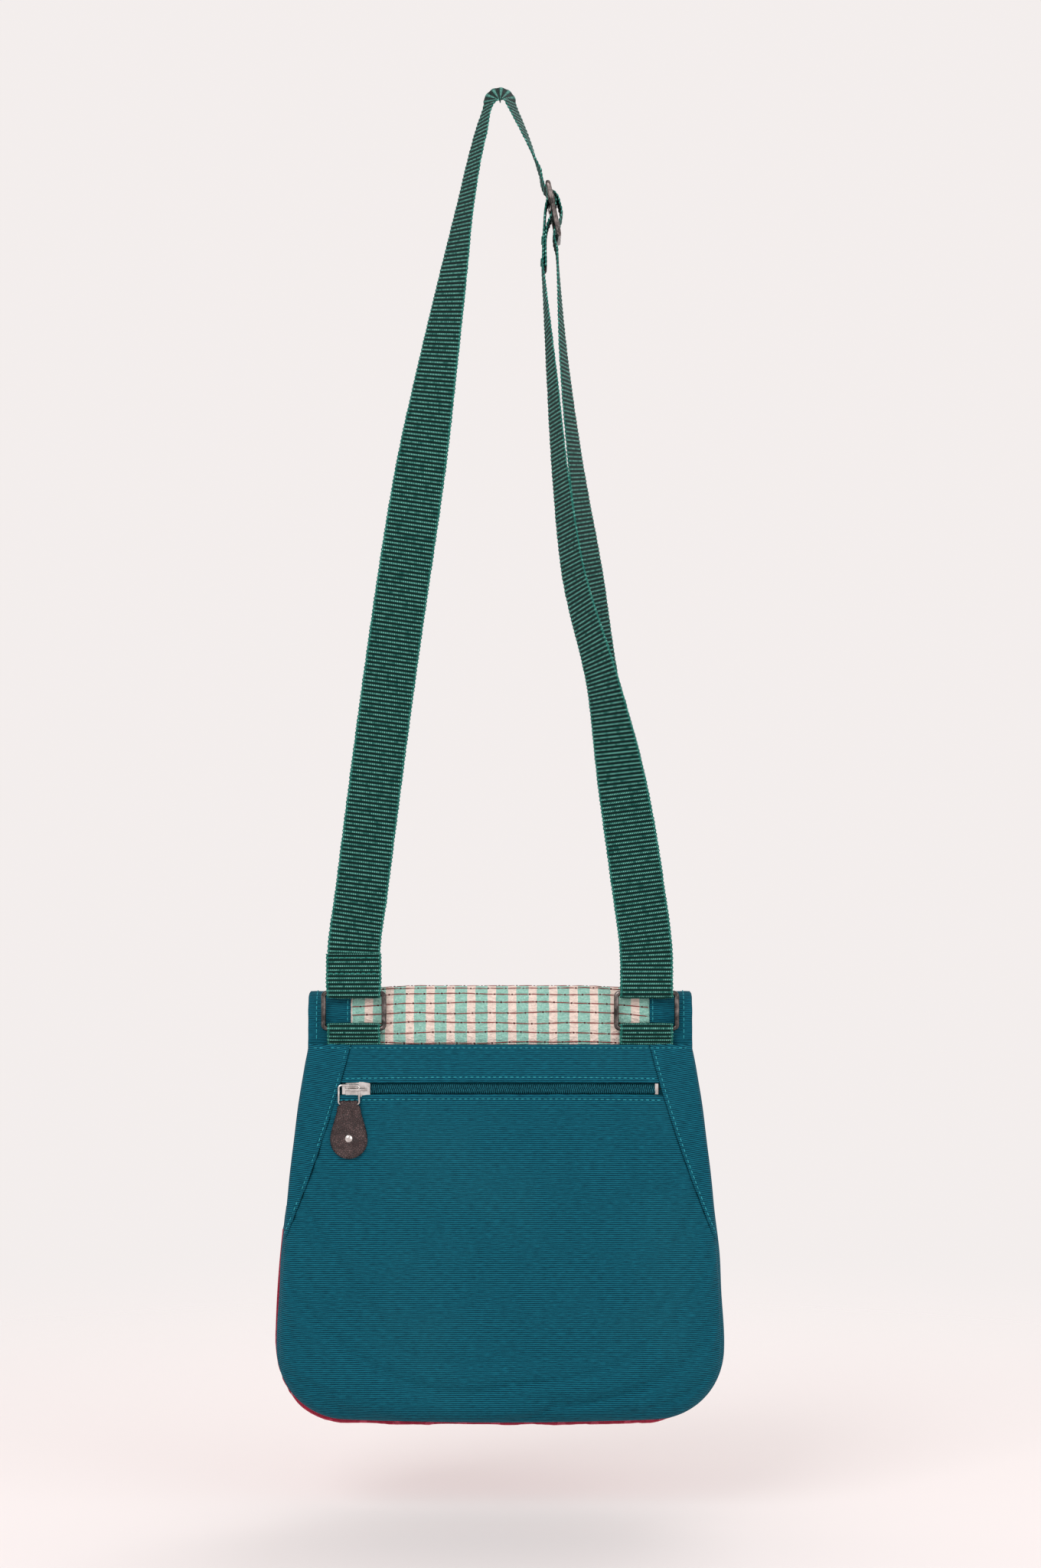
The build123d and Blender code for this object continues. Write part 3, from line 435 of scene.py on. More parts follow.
# ---------------------------------------------------------------- mesh helpers
def piece(name, points, faces, material, uvs=None):
    """A mesh object from points in millimetres, with one pair of cloth coordinates for each point."""
    mesh = bpy.data.meshes.new(name)
    mesh.from_pydata((np.asarray(points, float) * MM).tolist(), [], faces)
    if uvs is not None:
        corner = np.empty(len(mesh.loops), int)
        mesh.loops.foreach_get("vertex_index", corner)
        layer = mesh.uv_layers.new(name="cloth")
        layer.data.foreach_set("uv", (np.asarray(uvs, float)[corner] * MM).ravel())
    mesh.shade_smooth()
    obj = bpy.data.objects.new(name, mesh)
    bpy.context.scene.collection.objects.link(obj)
    mesh.materials.append(material)
    return obj


def unit(vectors):
    """The same directions at length one."""
    return vectors / np.maximum(np.linalg.norm(vectors, axis=-1, keepdims=True), 1e-9)


def grid_normals(grid):
    """Normals of a grid of points: the direction down its rows crossed with the direction along them."""
    down = np.gradient(grid, axis=0)
    right = np.gradient(grid, axis=1)
    return unit(np.cross(down, right))


def grid_quads(rows, columns):
    """The point numbers of a grid, and its faces."""
    number = np.arange(rows * columns).reshape(rows, columns)
    corners = together(number[:-1, :-1], number[1:, :-1], number[1:, 1:], number[:-1, 1:])
    return number, corners.reshape(-1, 4)


def cloth(name, grid, uv, thick, side, slot):
    """A sheet with rounded edges. The grid is its outer face, and side turns its normals outward."""
    rows, columns = grid.shape[:2]
    normals = grid_normals(grid) * side
    inner = grid - normals * thick
    number, quads = grid_quads(rows, columns)
    rim = np.concatenate([number[0, :-1], number[:-1, -1], number[-1, :0:-1], number[:0:-1, 0]])
    inward = np.concatenate([number[1, :-1], number[:-1, -2], number[-2, :0:-1], number[:0:-1, 1]])
    flat, flat_in = grid.reshape(-1, 3), inner.reshape(-1, 3)
    edge = (flat[rim] + flat_in[rim]) / 2 + unit(flat[rim] - flat[inward]) * thick * 0.4
    points = np.concatenate([flat, flat_in, edge])
    total = rows * columns
    if side < 0:
        quads = quads[:, ::-1]
    faces = quads.tolist() + (quads[:, ::-1] + total).tolist()
    ring = np.arange(len(rim)) + 2 * total
    after, ring_after = np.roll(rim, -1), np.roll(ring, -1)
    bands = [(rim, after, ring_after, ring), (ring, ring_after, after + total, rim + total)]
    for band in bands:
        strip = np.stack(band, -1)
        faces += (strip if side > 0 else strip[:, ::-1]).tolist()
    flat_uv = uv.reshape(-1, 2)
    return piece(name, points, faces, MATERIALS[slot], np.concatenate([flat_uv, flat_uv, flat_uv[rim]]))


def bag_cloth(name, grid, uv, thick, side, slot, *nodes):
    """A sheet that rides on the bag and stands for those CAD nodes."""
    obj = cloth(name, grid, uv, thick, side, slot)
    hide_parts(*nodes)
    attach(obj, "bag")


def tube_faces(rings, sides, first=0):
    """Faces of a closed tube of so many rings of so many sides, with caps."""
    faces = []
    for i in range(rings - 1):
        for j in range(sides):
            a, b = first + i * sides + j, first + i * sides + (j + 1) % sides
            faces.append((a, b, b + sides, a + sides))
    faces.append(tuple(range(first + sides - 1, first - 1, -1)))
    last = first + (rings - 1) * sides
    faces.append(tuple(range(last, last + sides)))
    return faces


def tube_points(path, radii, sides, helper=None):
    """Rings of points round a path, turned from the helper, a direction that the path never takes."""
    path = np.asarray(path, float)
    way = unit(np.gradient(path, axis=0))
    if helper is None:
        helper = np.array([0.0, 0.0, 1.0]) if abs(way[:, Z]).max() < 0.9 else np.array([0.0, 1.0, 0.0])
        if abs(way @ helper).max() > 0.95:
            helper = np.array([1.0, 0.0, 0.0])
    first = unit(np.cross(way, helper))
    second = np.cross(way, first)
    turn = np.arange(sides) * 2 * pi / sides
    rings = path[:, None] + np.broadcast_to(radii, len(path))[:, None, None] * (
        first[:, None] * np.cos(turn)[None, :, None] + second[:, None] * np.sin(turn)[None, :, None]
    )
    return rings.reshape(-1, 3)


def tubes(name, paths, radii, sides, material):
    """Many short tubes as one mesh."""
    points, faces, total = [], [], 0
    for path in paths:
        points.append(tube_points(path, radii, sides))
        faces += tube_faces(len(path), sides, total)
        total += len(path) * sides
    return piece(name, np.concatenate(points), faces, material, None)


STITCH_RADII = (0.12, 0.30, 0.33, 0.30, 0.12)
THICK_RADII = [radius * 1.3 for radius in STITCH_RADII]
STITCH_IN = 2.4  # from a turned edge to the stitches beside it
SEAM_STITCH = 1.7


def stitch_row(surface, line, pitch, length, lift=0.12, dip=0.35, phase=0.0):
    """Paths of running stitches along a line of parameters. surface gives points and outward normals."""
    line = np.asarray(line, float)
    points, _ = surface(line)
    gone = lengths_along(points)
    paths = []
    for i in range(int((gone[-1] + phase) // pitch) + 1):
        first = max(i * pitch - phase, 0.0)
        last = min(i * pitch - phase + length, gone[-1])
        if last - first < 0.3 * length:
            continue
        at = mix(first, last, np.array([0.0, 0.14, 0.5, 0.86, 1.0]))
        where = np.stack([np.interp(at, gone, line[:, k]) for k in range(line.shape[1])], -1)
        spots, normals = surface(where)
        height = np.array([-dip, lift, lift * 1.5, lift, -dip])
        paths.append(spots + normals * height[:, None])
    return paths


# ---------------------------------------------------------------- webbing
def curve_through(centres, sides, step):
    """Points every step or less along a smooth curve, with the direction across the webbing at each."""
    centres, sides = np.asarray(centres, float), np.asarray(sides, float)
    gone = lengths_along(centres)
    slopes = np.gradient(centres, gone, axis=0)
    turns = np.gradient(sides, gone, axis=0)
    count = int(ceil(gone[-1] / step)) + 1
    at = np.linspace(0, gone[-1], count)
    k = np.clip(np.searchsorted(gone, at, side="right") - 1, 0, len(gone) - 2)
    h = (gone[k + 1] - gone[k])[:, None]
    t = ((at - gone[k]) / h[:, 0])[:, None]
    a, b = 2 * t**3 - 3 * t**2 + 1, t**3 - 2 * t**2 + t
    c, d = -2 * t**3 + 3 * t**2, t**3 - t**2
    line = a * centres[k] + b * h * slopes[k] + c * centres[k + 1] + d * h * slopes[k + 1]
    side = a * sides[k] + b * h * turns[k] + c * sides[k + 1] + d * h * turns[k + 1]
    return line, unit(side)


def webbing(name, centres, sides, start=0.0, spread_end=0.0):
    """Flat webbing with its ribs modelled, along a smooth curve. start sets the first rib's phase.

    spread_end is how much wider each edge is over the sewn part at its start.
    """
    line, side = curve_through(centres, sides, RIB / 8)
    way = unit(np.gradient(line, axis=0))
    side = unit(side - way * np.sum(side * way, axis=1, keepdims=True))
    out = np.cross(way, side)
    gone = start + lengths_along(line)
    crest = 0.5 + 0.5 * np.cos(2 * pi * gone / RIB)
    half = WEB_WIDTH / 2 - 0.45 * (1 - crest) + 0.12 * ripple(gone, gone, 17.0)
    half = half + spread_end * smooth(SEWN_OVERLAP + 4.0, SEWN_OVERLAP - 4.0, gone)
    thick = WEB_THICK / 2 - RIB_DEPTH * (1 - crest)
    columns = 15
    spread = np.sin(np.linspace(-pi / 2, pi / 2, columns))
    ends = np.sqrt(np.clip(1 - spread**8, 0, 1)) * 0.75 + 0.25
    wave = 0.10 * ripple(spread[None, :] * 15, gone[:, None], 9.0)
    front = line[:, None] + side[:, None] * (half[:, None] * spread)[..., None]
    front = front + out[:, None] * wave[..., None]
    lift = out[:, None] * (thick[:, None] * ends[None, :])[..., None]
    upper, lower = front + lift, front - lift
    rings = np.concatenate([upper, lower[:, ::-1]], axis=1)
    count = rings.shape[1]
    u = np.concatenate([spread, spread[::-1]]) * WEB_WIDTH / 2
    uv = together(u[None, :], gone[:, None])
    faces = tube_faces(len(line), count)
    obj = piece(name, rings.reshape(-1, 3), faces, MATERIALS["webbing"], uv.reshape(-1, 2))
    return obj, gone[-1]


def bar_turn(bar, neck, tail, side):
    """Points in a plane: in along one layer of webbing, round a bar, and out along the other layer."""
    bar, neck, tail = (np.array(point, float) for point in (bar, neck, tail))
    reach = hypot(*(neck - bar))
    way = (neck - bar) / reach
    aside = side * np.array([way[1], -way[0]])
    opening = acos((LOOP_RADIUS - LAYER_Y) / reach)
    steps = 8
    line = [tail + aside * LAYER_Y, neck + aside * LAYER_Y]
    for i in range(steps + 1):
        angle = mix(opening, 2 * pi - opening, i / steps)
        line.append(bar + LOOP_RADIUS * (way * cos(angle) + aside * sin(angle)))
    return line + [neck - aside * LAYER_Y, tail - aside * LAYER_Y]


HOOK_BEND = 5.0
HOOK_END_TILTS = (18.0, 14.0)  # degrees that the webbing's front edge turns in towards the hook, at each end
HOOK_TILT = 12.0  # more of it on top of the hook
HOOK_LEAN = 22.0


def hook_arc():
    """Centres and directions across, round the hook from the left run to the right run."""
    centres, sides = [], []
    radius = HOOK_BEND + WEB_THICK / 2
    steps = 8
    for i in range(steps + 1):
        angle = mix(radians(180 - HOOK_LEAN), radians(HOOK_LEAN), i / steps)
        tilt = radians(mix(*HOOK_END_TILTS, i / steps) + HOOK_TILT * sin(pi * i / steps))
        centres.append((radius * cos(angle), 0, radius * sin(angle) - HOOK_BEND))
        sides.append((-sin(tilt) * cos(angle), -cos(tilt), -sin(tilt) * sin(angle)))
    return centres, sides


LEFT_SHOULDER = (-18.0, -52.0)
LEFT_SAG = 3.5
LEFT_TURNS = [(0.05, 73), (0.12, 69), (0.22, 54), (0.33, 36), (0.44, 14), (0.55, 0), (0.93, 0)]
SEWN_OVERLAP = 22.0


def left_run(top_x, top_z):
    """Centres and directions across, down the left run from the hook to the ring's sewn overlap."""
    foot_z = RING_TOP_Z + SEWN_OVERLAP
    shoulder_x, shoulder_z = LEFT_SHOULDER
    centres, sides = [], []
    for share, turn in LEFT_TURNS:
        z = share * foot_z
        down = (z - shoulder_z) / (foot_z - shoulder_z)
        if down > 0:
            x = mix(shoulder_x, -RING_X, down) - LEFT_SAG * sin(pi * down)
        else:
            x = mix(top_x, shoulder_x, (z - top_z) / (shoulder_z - top_z)) - 1.0
        centres.append((x, mix(0, WEB_THICK / 2, share), z))
        sides.append((cos(radians(turn)), -sin(radians(turn)), 0))
    return centres, sides


def strap_long():
    """From the sewn end at the left ring, round its bar, up the left run and over the hook."""
    neck, tail = (0, RING_TOP_Z + LOOP_NECK), (0, RING_TOP_Z + SEWN_OVERLAP)
    loop = [(-RING_X, y, z) for y, z in bar_turn((0, RING_TOP_Z), neck, tail, -1)]
    arc, arc_sides = hook_arc()
    run, run_sides = left_run(arc[0][0], arc[0][2])
    centres = loop + run[::-1] + arc
    sides = [(1, 0, 0)] * len(loop) + run_sides[::-1] + arc_sides
    obj, length = webbing("strap_webbing", centres, sides, spread_end=0.7)
    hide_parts("strap_left_end", "strap_left_run", "strap_hook_arch")
    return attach(obj, "strap"), length


# ---------------------------------------------------------------- adjuster and doubled run
ADJUSTER_TOP = (26.4, -49.5)
CENTRE_BAR_AT = 11.2
LEAN = radians(11.8)
OUT = np.array([cos(LEAN), 0.0, sin(LEAN)])
BAR_PASS = 2.4
BIGHT_OUT = 4.2
BIGHT_PATH = [
    (-7.0, -BAR_PASS),
    (0.8, -BAR_PASS),
    (3.4, -1.6),
    (6.6, 2.2),
    (9.6, BIGHT_OUT - 0.35),
    (13.5, BIGHT_OUT),
    (19.0, BIGHT_OUT - 0.1),
    (22.5, 2.4),
    (27.0, -1.5),
    (29.8, -BAR_PASS),
    (38.0, -BAR_PASS),
]
END_LOOP_TIP = (24.0, -6.0)
END_LOOP_TAIL = (46.0, -11.4)
LEG_FOOT = 16.0
LEG_LEVELS = [0.0, 0.12, 0.24, 0.40, 0.56, 0.70, 0.85, 1.0]
LEG_IN = [0.0, 0.10, 0.235, 0.445, 0.67, 0.815, 0.925, 1.0]
RETURN_TURN = [0, 4, 20, 52, 65, 73, 80, 90]
MAIN_TURN = [0, 8, 26, 54, 64, 72, 80, 90]
LEG_APART_Y = [0.0, 0.17, 0.47, 0.85, 0.42, 0.15, 0.04, 0.0]
LEG_APART_X = [0.0, 0.0, 0.0, 0.04, 0.33, 0.29, 0.23, 0.0]


def beside(along, out, y=0.0):
    """A point given along the adjuster from its upper end, and out from its plane."""
    x0, z0 = ADJUSTER_TOP
    return (x0 + along * sin(LEAN) + out * cos(LEAN), y, z0 - along * cos(LEAN) + out * sin(LEAN))


def leg(side, turns, foot_y, top):
    """Centres and directions across, of one leg from the ring up to the adjuster."""
    meet_x = (beside(*END_LOOP_TAIL)[0] + beside(*BIGHT_PATH[-1])[0]) / 2
    foot_z = RING_TOP_Z + LEG_FOOT
    centres, sides = [], []
    for i, share in enumerate(LEG_LEVELS):
        in_x = top[0] if share == 1.0 else meet_x
        x = mix(RING_X, in_x, LEG_IN[i]) + side * LEG_APART_X[i] * WEB_WIDTH / 2
        y = mix(foot_y, 0, share) + side * LEG_APART_Y[i] * WEB_WIDTH / 2
        a = radians(turns[i])
        centres.append((x, y, mix(foot_z, top[2], share)))
        sides.append((cos(a), side * sin(a), 0))
    return centres, sides


def strap_double():
    """Down the main leg, round the right ring's bar and up the return leg."""
    main, main_sides = leg(1, MAIN_TURN, LAYER_Y, beside(*BIGHT_PATH[-1]))
    back, back_sides = leg(-1, RETURN_TURN, -LAYER_Y, beside(END_LOOP_TAIL[0], END_LOOP_TAIL[1] - LAYER_Y))
    neck, tail = (0, RING_TOP_Z + LOOP_NECK), (0, RING_TOP_Z + LEG_FOOT)
    loop = [(RING_X, y, z) for y, z in bar_turn((0, RING_TOP_Z), neck, tail, 1)][1:-1]
    centres = main[::-1] + loop + back
    sides = main_sides[::-1] + [(1, 0, 0)] * len(loop) + back_sides
    obj, _ = webbing("strap_doubled_webbing", centres, sides)
    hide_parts("strap_right_loop", "main_leg_lower", "main_leg_upper",
                "return_leg_lower", "return_leg_upper")
    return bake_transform(obj)


def strap_upper(start):
    """From the hook to the adjuster."""
    arc, arc_sides = hook_arc()
    path = [np.array(beside(along, out)) for along, out in BIGHT_PATH[:2]]
    low = path[0]
    centres = [np.array(arc[-1]), mix(np.array(arc[-1]), low, 0.5) + np.array([0.6, 0, 0.3]), low]
    sides = [arc_sides[-1], (-0.17, -0.985, 0), (0, -1, 0)]
    obj, length = webbing("strap_upper_webbing", centres, sides, start)
    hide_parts("strap_upper_run")
    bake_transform(obj)
    return length


def strap_on_adjuster(start):
    """The bight through the adjuster, and the end loop sewn round its centre bar."""
    centres = [beside(along, out) for along, out in BIGHT_PATH]
    obj, _ = webbing("strap_bight_webbing", centres, [(0, -1, 0)] * len(centres), start)
    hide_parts("strap_bight")
    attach(obj, "adjuster")
    loop = bar_turn((0, CENTRE_BAR_AT), END_LOOP_TIP[::-1], END_LOOP_TAIL[::-1], -1)
    centres = [beside(along, out) for out, along in loop]
    end, _ = webbing("strap_end_webbing", centres, [(0, -1, 0)] * len(centres))
    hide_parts("strap_end_loop")
    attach(end, "adjuster")


# ---------------------------------------------------------------- the bag's form
CORNER_CENTRE = (HALF_LOW - BOTTOM_CORNER, BOTTOM + BOTTOM_CORNER + 1.72)
CORNER_END = radians(87.8)


def side_x(z, reach=0.0):
    """Half the bag's width at a level, between the top seam and the bottom corners."""
    t = np.clip((TOP_SEAM - z) / WIDEST_DOWN, 0, 1)
    return mix(HALF_TOP, HALF_LOW + reach, t) + 4 * SIDE_BOW * t * (1 - t)


def seam_x(z):
    """Half the width between the side seams at a level."""
    t = np.clip((TOP_SEAM - z) / SEAM_FOOT_DOWN, 0, 1)
    return mix(SEAM_X, side_x(TOP_SEAM - SEAM_FOOT_DOWN) - 0.4, t) - 4 * SEAM_BOW * t * (1 - t)


def corner_line(reach, inset=0.0):
    """The right bottom corner and half of the bottom, in x and z, from the side to the middle."""
    cx, cz = CORNER_CENTRE
    radius = BOTTOM_CORNER + reach - inset
    angle = np.linspace(0, CORNER_END, 24)
    arc = together(cx + radius * np.cos(angle), cz - radius * np.sin(angle))
    x = np.linspace(arc[-1, 0], 0, 30)[1:]
    low = BOTTOM - reach + inset
    z = low + (arc[-1, 1] - low) * (x / arc[-1, 0]) ** 2
    return np.concatenate([arc, together(x, z)])


def bottom_line(reach=0.0, inset=0.0):
    """The bottom edge from its left end to its right end."""
    half = corner_line(reach, inset)
    left = half * (-1, 1)
    return np.concatenate([left, half[-2::-1]])


def resample(line, count):
    """The same line with so many evenly spaced points."""
    gone = lengths_along(line)
    at = np.linspace(0, gone[-1], count)
    return np.stack([np.interp(at, gone, line[:, k]) for k in range(line.shape[1])], -1)


def patch(half_width, top_z, reach, inset, rows, columns):
    """A grid in x and z under a straight top edge, with sides that follow half_width and a rounded bottom."""
    side_z = np.linspace(top_z, CORNER_CENTRE[1], 80)
    side = together(half_width(side_z), side_z)
    right = resample(side, rows)
    left = right * (-1, 1)
    low = resample(bottom_line(reach, inset), columns)
    high = np.linspace(left[0], right[0], columns)
    u = np.linspace(0, 1, columns)[None, :, None]
    v = np.linspace(0, 1, rows)[:, None, None]
    sides = (1 - u) * left[:, None] + u * right[:, None]
    ends = (1 - v) * high[None] + v * low[None]
    corners = (1 - u) * (1 - v) * high[0] + u * (1 - v) * high[-1] + (1 - u) * v * low[0] + u * v * low[-1]
    return sides + ends - corners


def whole_outline(reach=0.0):
    """Points down the left side, along the bottom and up the right side."""
    z = np.linspace(MOUTH, CORNER_CENTRE[1], 70)
    right = together(side_x(z, reach), z)
    return np.concatenate([right[:-1] * (-1, 1), bottom_line(reach), right[-2::-1]])


def edge_distance(x, z, line):
    """Distance from each point to a line of points, in x and z."""
    x, z = np.broadcast_arrays(x, z)
    spots = together(x, z).reshape(-1, 1, 2)
    first, step = line[:-1][None], np.diff(line, axis=0)[None]
    t = np.sum((spots - first) * step, -1) / np.maximum(np.sum(step**2, -1), 1e-9)
    nearest = first + np.clip(t, 0, 1)[..., None] * step
    return np.sqrt(np.sum((spots - nearest) ** 2, -1)).min(1).reshape(np.shape(x))


OUTLINE = whole_outline()


def edge_round(z):
    """Radius of the bag's edge: tight beside the zip and fuller towards the bottom."""
    return EDGE_TIGHT + EDGE_FULLER * smooth(*EDGE_LEVELS, z)


def turn_in(distance, radius):
    """How far a surface has curved away at a distance from its edge."""
    inside = np.clip(1 - distance / radius, 0, 1)
    return radius * (1 - np.sqrt(1 - inside**2))


def settled(grid, pressure, seed):
    """A cloth held at its edges and blown out a little, as heights over the flat cloth in x and z."""
    rows, columns = grid.shape[:2]
    mesh = bpy.data.meshes.new("settling")
    flat = together(grid[..., 0], 0.4 * ripple(grid[..., 0], grid[..., 1], 37.0, seed), grid[..., 1])
    number, quads = grid_quads(rows, columns)
    mesh.from_pydata((flat.reshape(-1, 3) * MM).tolist(), [], quads.tolist())
    obj = bpy.data.objects.new("settling", mesh)
    bpy.context.scene.collection.objects.link(obj)
    held = obj.vertex_groups.new(name="held")
    rim = np.concatenate([number[0], number[-1], number[:, 0], number[:, -1]])
    held.add([int(i) for i in rim], 1.0, "REPLACE")
    modifier = obj.modifiers.new("cloth", "CLOTH")
    modifier.settings.vertex_group_mass = "held"
    modifier.settings.use_pressure = True
    modifier.settings.uniform_pressure_force = pressure
    modifier.settings.shrink_min = -0.012
    modifier.settings.bending_stiffness = 3.0
    modifier.settings.effector_weights.gravity = 0.3
    modifier.collision_settings.use_collision = False
    for step in range(1, 25):
        bpy.context.scene.frame_set(step)
    evaluated = obj.evaluated_get(bpy.context.evaluated_depsgraph_get())
    shape = evaluated.to_mesh()
    points = np.empty(len(shape.vertices) * 3, np.float32)
    shape.vertices.foreach_get("co", points)
    points = points.reshape(-1, 3) / MM
    bpy.context.scene.frame_set(1)
    bpy.data.objects.remove(obj)
    tree = BVHTree.FromPolygons(points.tolist(), quads.tolist())
    return tree


def blown(tree, x, z, limit):
    """How far the settled cloth stands out at each point, at most the limit."""
    out = np.zeros(np.shape(x))
    for index in np.ndindex(out.shape):
        hit = tree.ray_cast(Vector((x[index], -200.0, z[index])), Vector((0, 1, 0)))[0]
        out[index] = abs(hit.y) if hit else 0.0
    return limit * np.tanh(out / limit)


def back_form(x, z):
    """y of the outside of the bag's back."""
    x, z = np.broadcast_arrays(x, z)
    distance = edge_distance(x, z, OUTLINE)
    hold = smooth(0.0, 26.0, distance) * smooth(TOP_SEAM, TOP_SEAM - 30.0, z)
    puff = 1.8 * hold + hold * 0.7 * ripple(x, z, 88.0)
    if BACK_PUFF is not None:
        puff = puff + blown(BACK_PUFF, x, z, BACK_FULLNESS)
    return -CANVAS - puff + turn_in(distance, edge_round(z))


def front_y(z, out):
    """y on a plane beside the flap's front, so far from the flap's axis."""
    return FOLD_Y + out / cos(SLOPE) + (FOLD_Z - z) * tan(SLOPE)


def groove(distance, depth, width):
    """Depth of a soft groove at a distance from its middle."""
    return depth * np.exp(-((distance / width) ** 2))


def back_surface(line):
    """Points and outward normals on the bag's back, for stitches."""
    x, z = line[:, 0], line[:, 1]
    y = back_form(x, z)
    step = 0.5
    slope_x = (back_form(x + step, z) - back_form(x - step, z)) / (2 * step)
    slope_z = (back_form(x, z + step) - back_form(x, z - step)) / (2 * step)
    normals = unit(together(slope_x, -np.ones_like(x), slope_z))
    return together(x, y, z), normals


def seam_line(offset, top, low):
    """Points along the right side seam, that far outside it."""
    z = np.linspace(top, low, 40)
    return together(seam_x(z) + offset, z)


def canvas_back():
    """Yoke above the zip, two side wedges, and the panel below: each its own cloth."""
    window_top, window_low = ZIP_Z + ZIP_HALF_WINDOW, ZIP_Z - ZIP_HALF_WINDOW
    bow = ZIP_BOW
    columns, rows = 170, 34
    u = np.linspace(-1, 1, columns)[None, :]
    z = mix(TOP_SEAM, window_top, np.linspace(0, 1, rows))[:, None]
    x = u * (seam_x(z) - SEAM_LAP)
    z = z + bow * (1 - u**2) * smooth(TOP_SEAM, window_top, z)
    seam = seam_x(z) - np.abs(x)
    above = z - window_top - bow * (1 - u**2)
    y = back_form(x, z) + groove(seam, SEAM_DIP, 1.3) - groove(above - 1.2, 0.3, 1.0)
    y = y + groove(TOP_SEAM - z, 0.4, 1.0) + groove(z - (TOP_SEAM - SEAM_STITCH), 0.2, 0.8)
    y = y + groove(above - STITCH_IN, 0.2, 0.8)
    bag_cloth("yoke_canvas", together(x, y, z), together(x, z), CANVAS, 1, "canvas", "back_yoke")

    rows = 150
    seam_foot = TOP_SEAM - SEAM_FOOT_DOWN
    plan = patch(lambda level: np.where(level > seam_foot, seam_x(level) - SEAM_LAP, side_x(level)),
                 window_low, 0.0, 0.0, rows, columns)
    x, z = plan[..., 0], plan[..., 1]
    z = z + bow * (1 - (x / seam_x(z)) ** 2) * smooth(window_low - 30, window_low, z)
    seam = np.where(z > seam_foot - 6, seam_x(z) - np.abs(x), 50.0)
    y = back_form(x, z) + groove(seam, SEAM_DIP, 1.3) + 0.12 * ripple(x, z, 11.0, 2.0) * smooth(14, 4, seam)
    y = y + groove(z - window_low + STITCH_IN - bow * (1 - (x / seam_x(z)) ** 2), 0.2, 0.8)
    bag_cloth("back_canvas", together(x, y, z), together(x, z), CANVAS, 1, "canvas", "back_panel")

    rows, columns = 90, 26
    for name, s in (("left", -1), ("right", 1)):
        z = mix(TOP_SEAM, TOP_SEAM - SEAM_FOOT_DOWN, np.linspace(0, 1, rows))[:, None]
        share = np.linspace(0, 1, columns)[None, :]
        x = mix(seam_x(z), np.maximum(side_x(z), seam_x(z) + 0.3), share)
        seam = x - seam_x(z)
        y = back_form(x, z) - groove(seam - 0.6, 0.35, 0.7) + groove(seam - 1.5, 0.2, 0.6)
        y = y + 0.10 * ripple(x, z, 6.0, 1.0) * smooth(8, 2, seam)
        x, y, z = np.broadcast_arrays(x * s, y, z)
        uv = together(x, z + 0.18 * x * s)
        bag_cloth(f"wedge_canvas_{name}", together(x, y, z), uv, CANVAS, s, "canvas", f"side_wedge_{name}")


def mirrored(line):
    return line * (-1, 1)


def canvas_stitches():
    """Topstitching: below the top seam, beside both side seams, and above and below the zip."""
    rows = []
    half = HALF_TOP - 3.0
    x = np.linspace(-half, half, 120)
    rows.append(together(x, np.full_like(x, TOP_SEAM - SEAM_STITCH)))
    for side in (1, -1):
        line = seam_line(1.5, TOP_SEAM - 3.0, TOP_SEAM - SEAM_FOOT_DOWN + 3.0)
        rows.append(line if side > 0 else mirrored(line))
    for gap in (ZIP_HALF_WINDOW + STITCH_IN, -ZIP_HALF_WINDOW - STITCH_IN):
        half = float(seam_x(np.array(ZIP_Z + gap))) - 2.5
        x = np.linspace(-half, half, 120)
        rows.append(together(x, ZIP_Z + gap + ZIP_BOW * (1 - (x / half) ** 2)))
    paths = []
    for row in rows:
        paths += stitch_row(back_surface, row, CANVAS_PITCH, CANVAS_LENGTH, 0.0, STITCH_DIP)
    obj = tubes("canvas_topstitching", paths, STITCH_RADII, STITCH_SIDES, MATERIALS["teal_thread"])
    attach(obj, "bag")


def gusset():
    """The strip of canvas between the back's edge and the front's edge, round both sides and the bottom."""
    line = resample(OUTLINE, 420)
    way = unit(np.gradient(line, axis=0))
    out = together(-way[:, 1], way[:, 0])
    out = out * np.sign(np.sum(out * (line - [0, -630]), axis=1, keepdims=True))
    x, z = line[:, 0], line[:, 1]
    near = -CANVAS + edge_round(z)
    near = mix(near, LINING_BACK_Y + 0.2, smooth(TOP_SEAM - 3, TOP_SEAM + 1, z))
    far = front_y(z, FRONT_FACE) - edge_round(z)
    share = np.linspace(0, 1, 34)
    bulge = np.sin(pi * share)
    depth = 1.0 + 1.2 * smooth(*GUSSET_LEVELS, z)
    off = bulge[None] * depth[:, None] + 0.5 * ripple(z[:, None], share[None] * 30, 60.0) * bulge[None]
    off = off - groove(share[None] * (far - near)[:, None] - 1.0, 0.5, 0.8)
    off = off - groove((1 - share[None]) * (far - near)[:, None] - 1.0, 0.5, 0.8)
    below = smooth(MOUTH, MOUTH - 30.0, z)[:, None]
    off = off * below - 1.0 * (1 - below)
    grid = together(x[:, None] + out[:, :1] * off,
        near[:, None] + (far - near)[:, None] * share[None],
        z[:, None] + out[:, 1:] * off)
    gone = lengths_along(line)
    uv = together(grid[..., 1], gone[:, None])
    bag_cloth("gusset_canvas", grid, uv, CANVAS, -1, "canvas", "gusset")


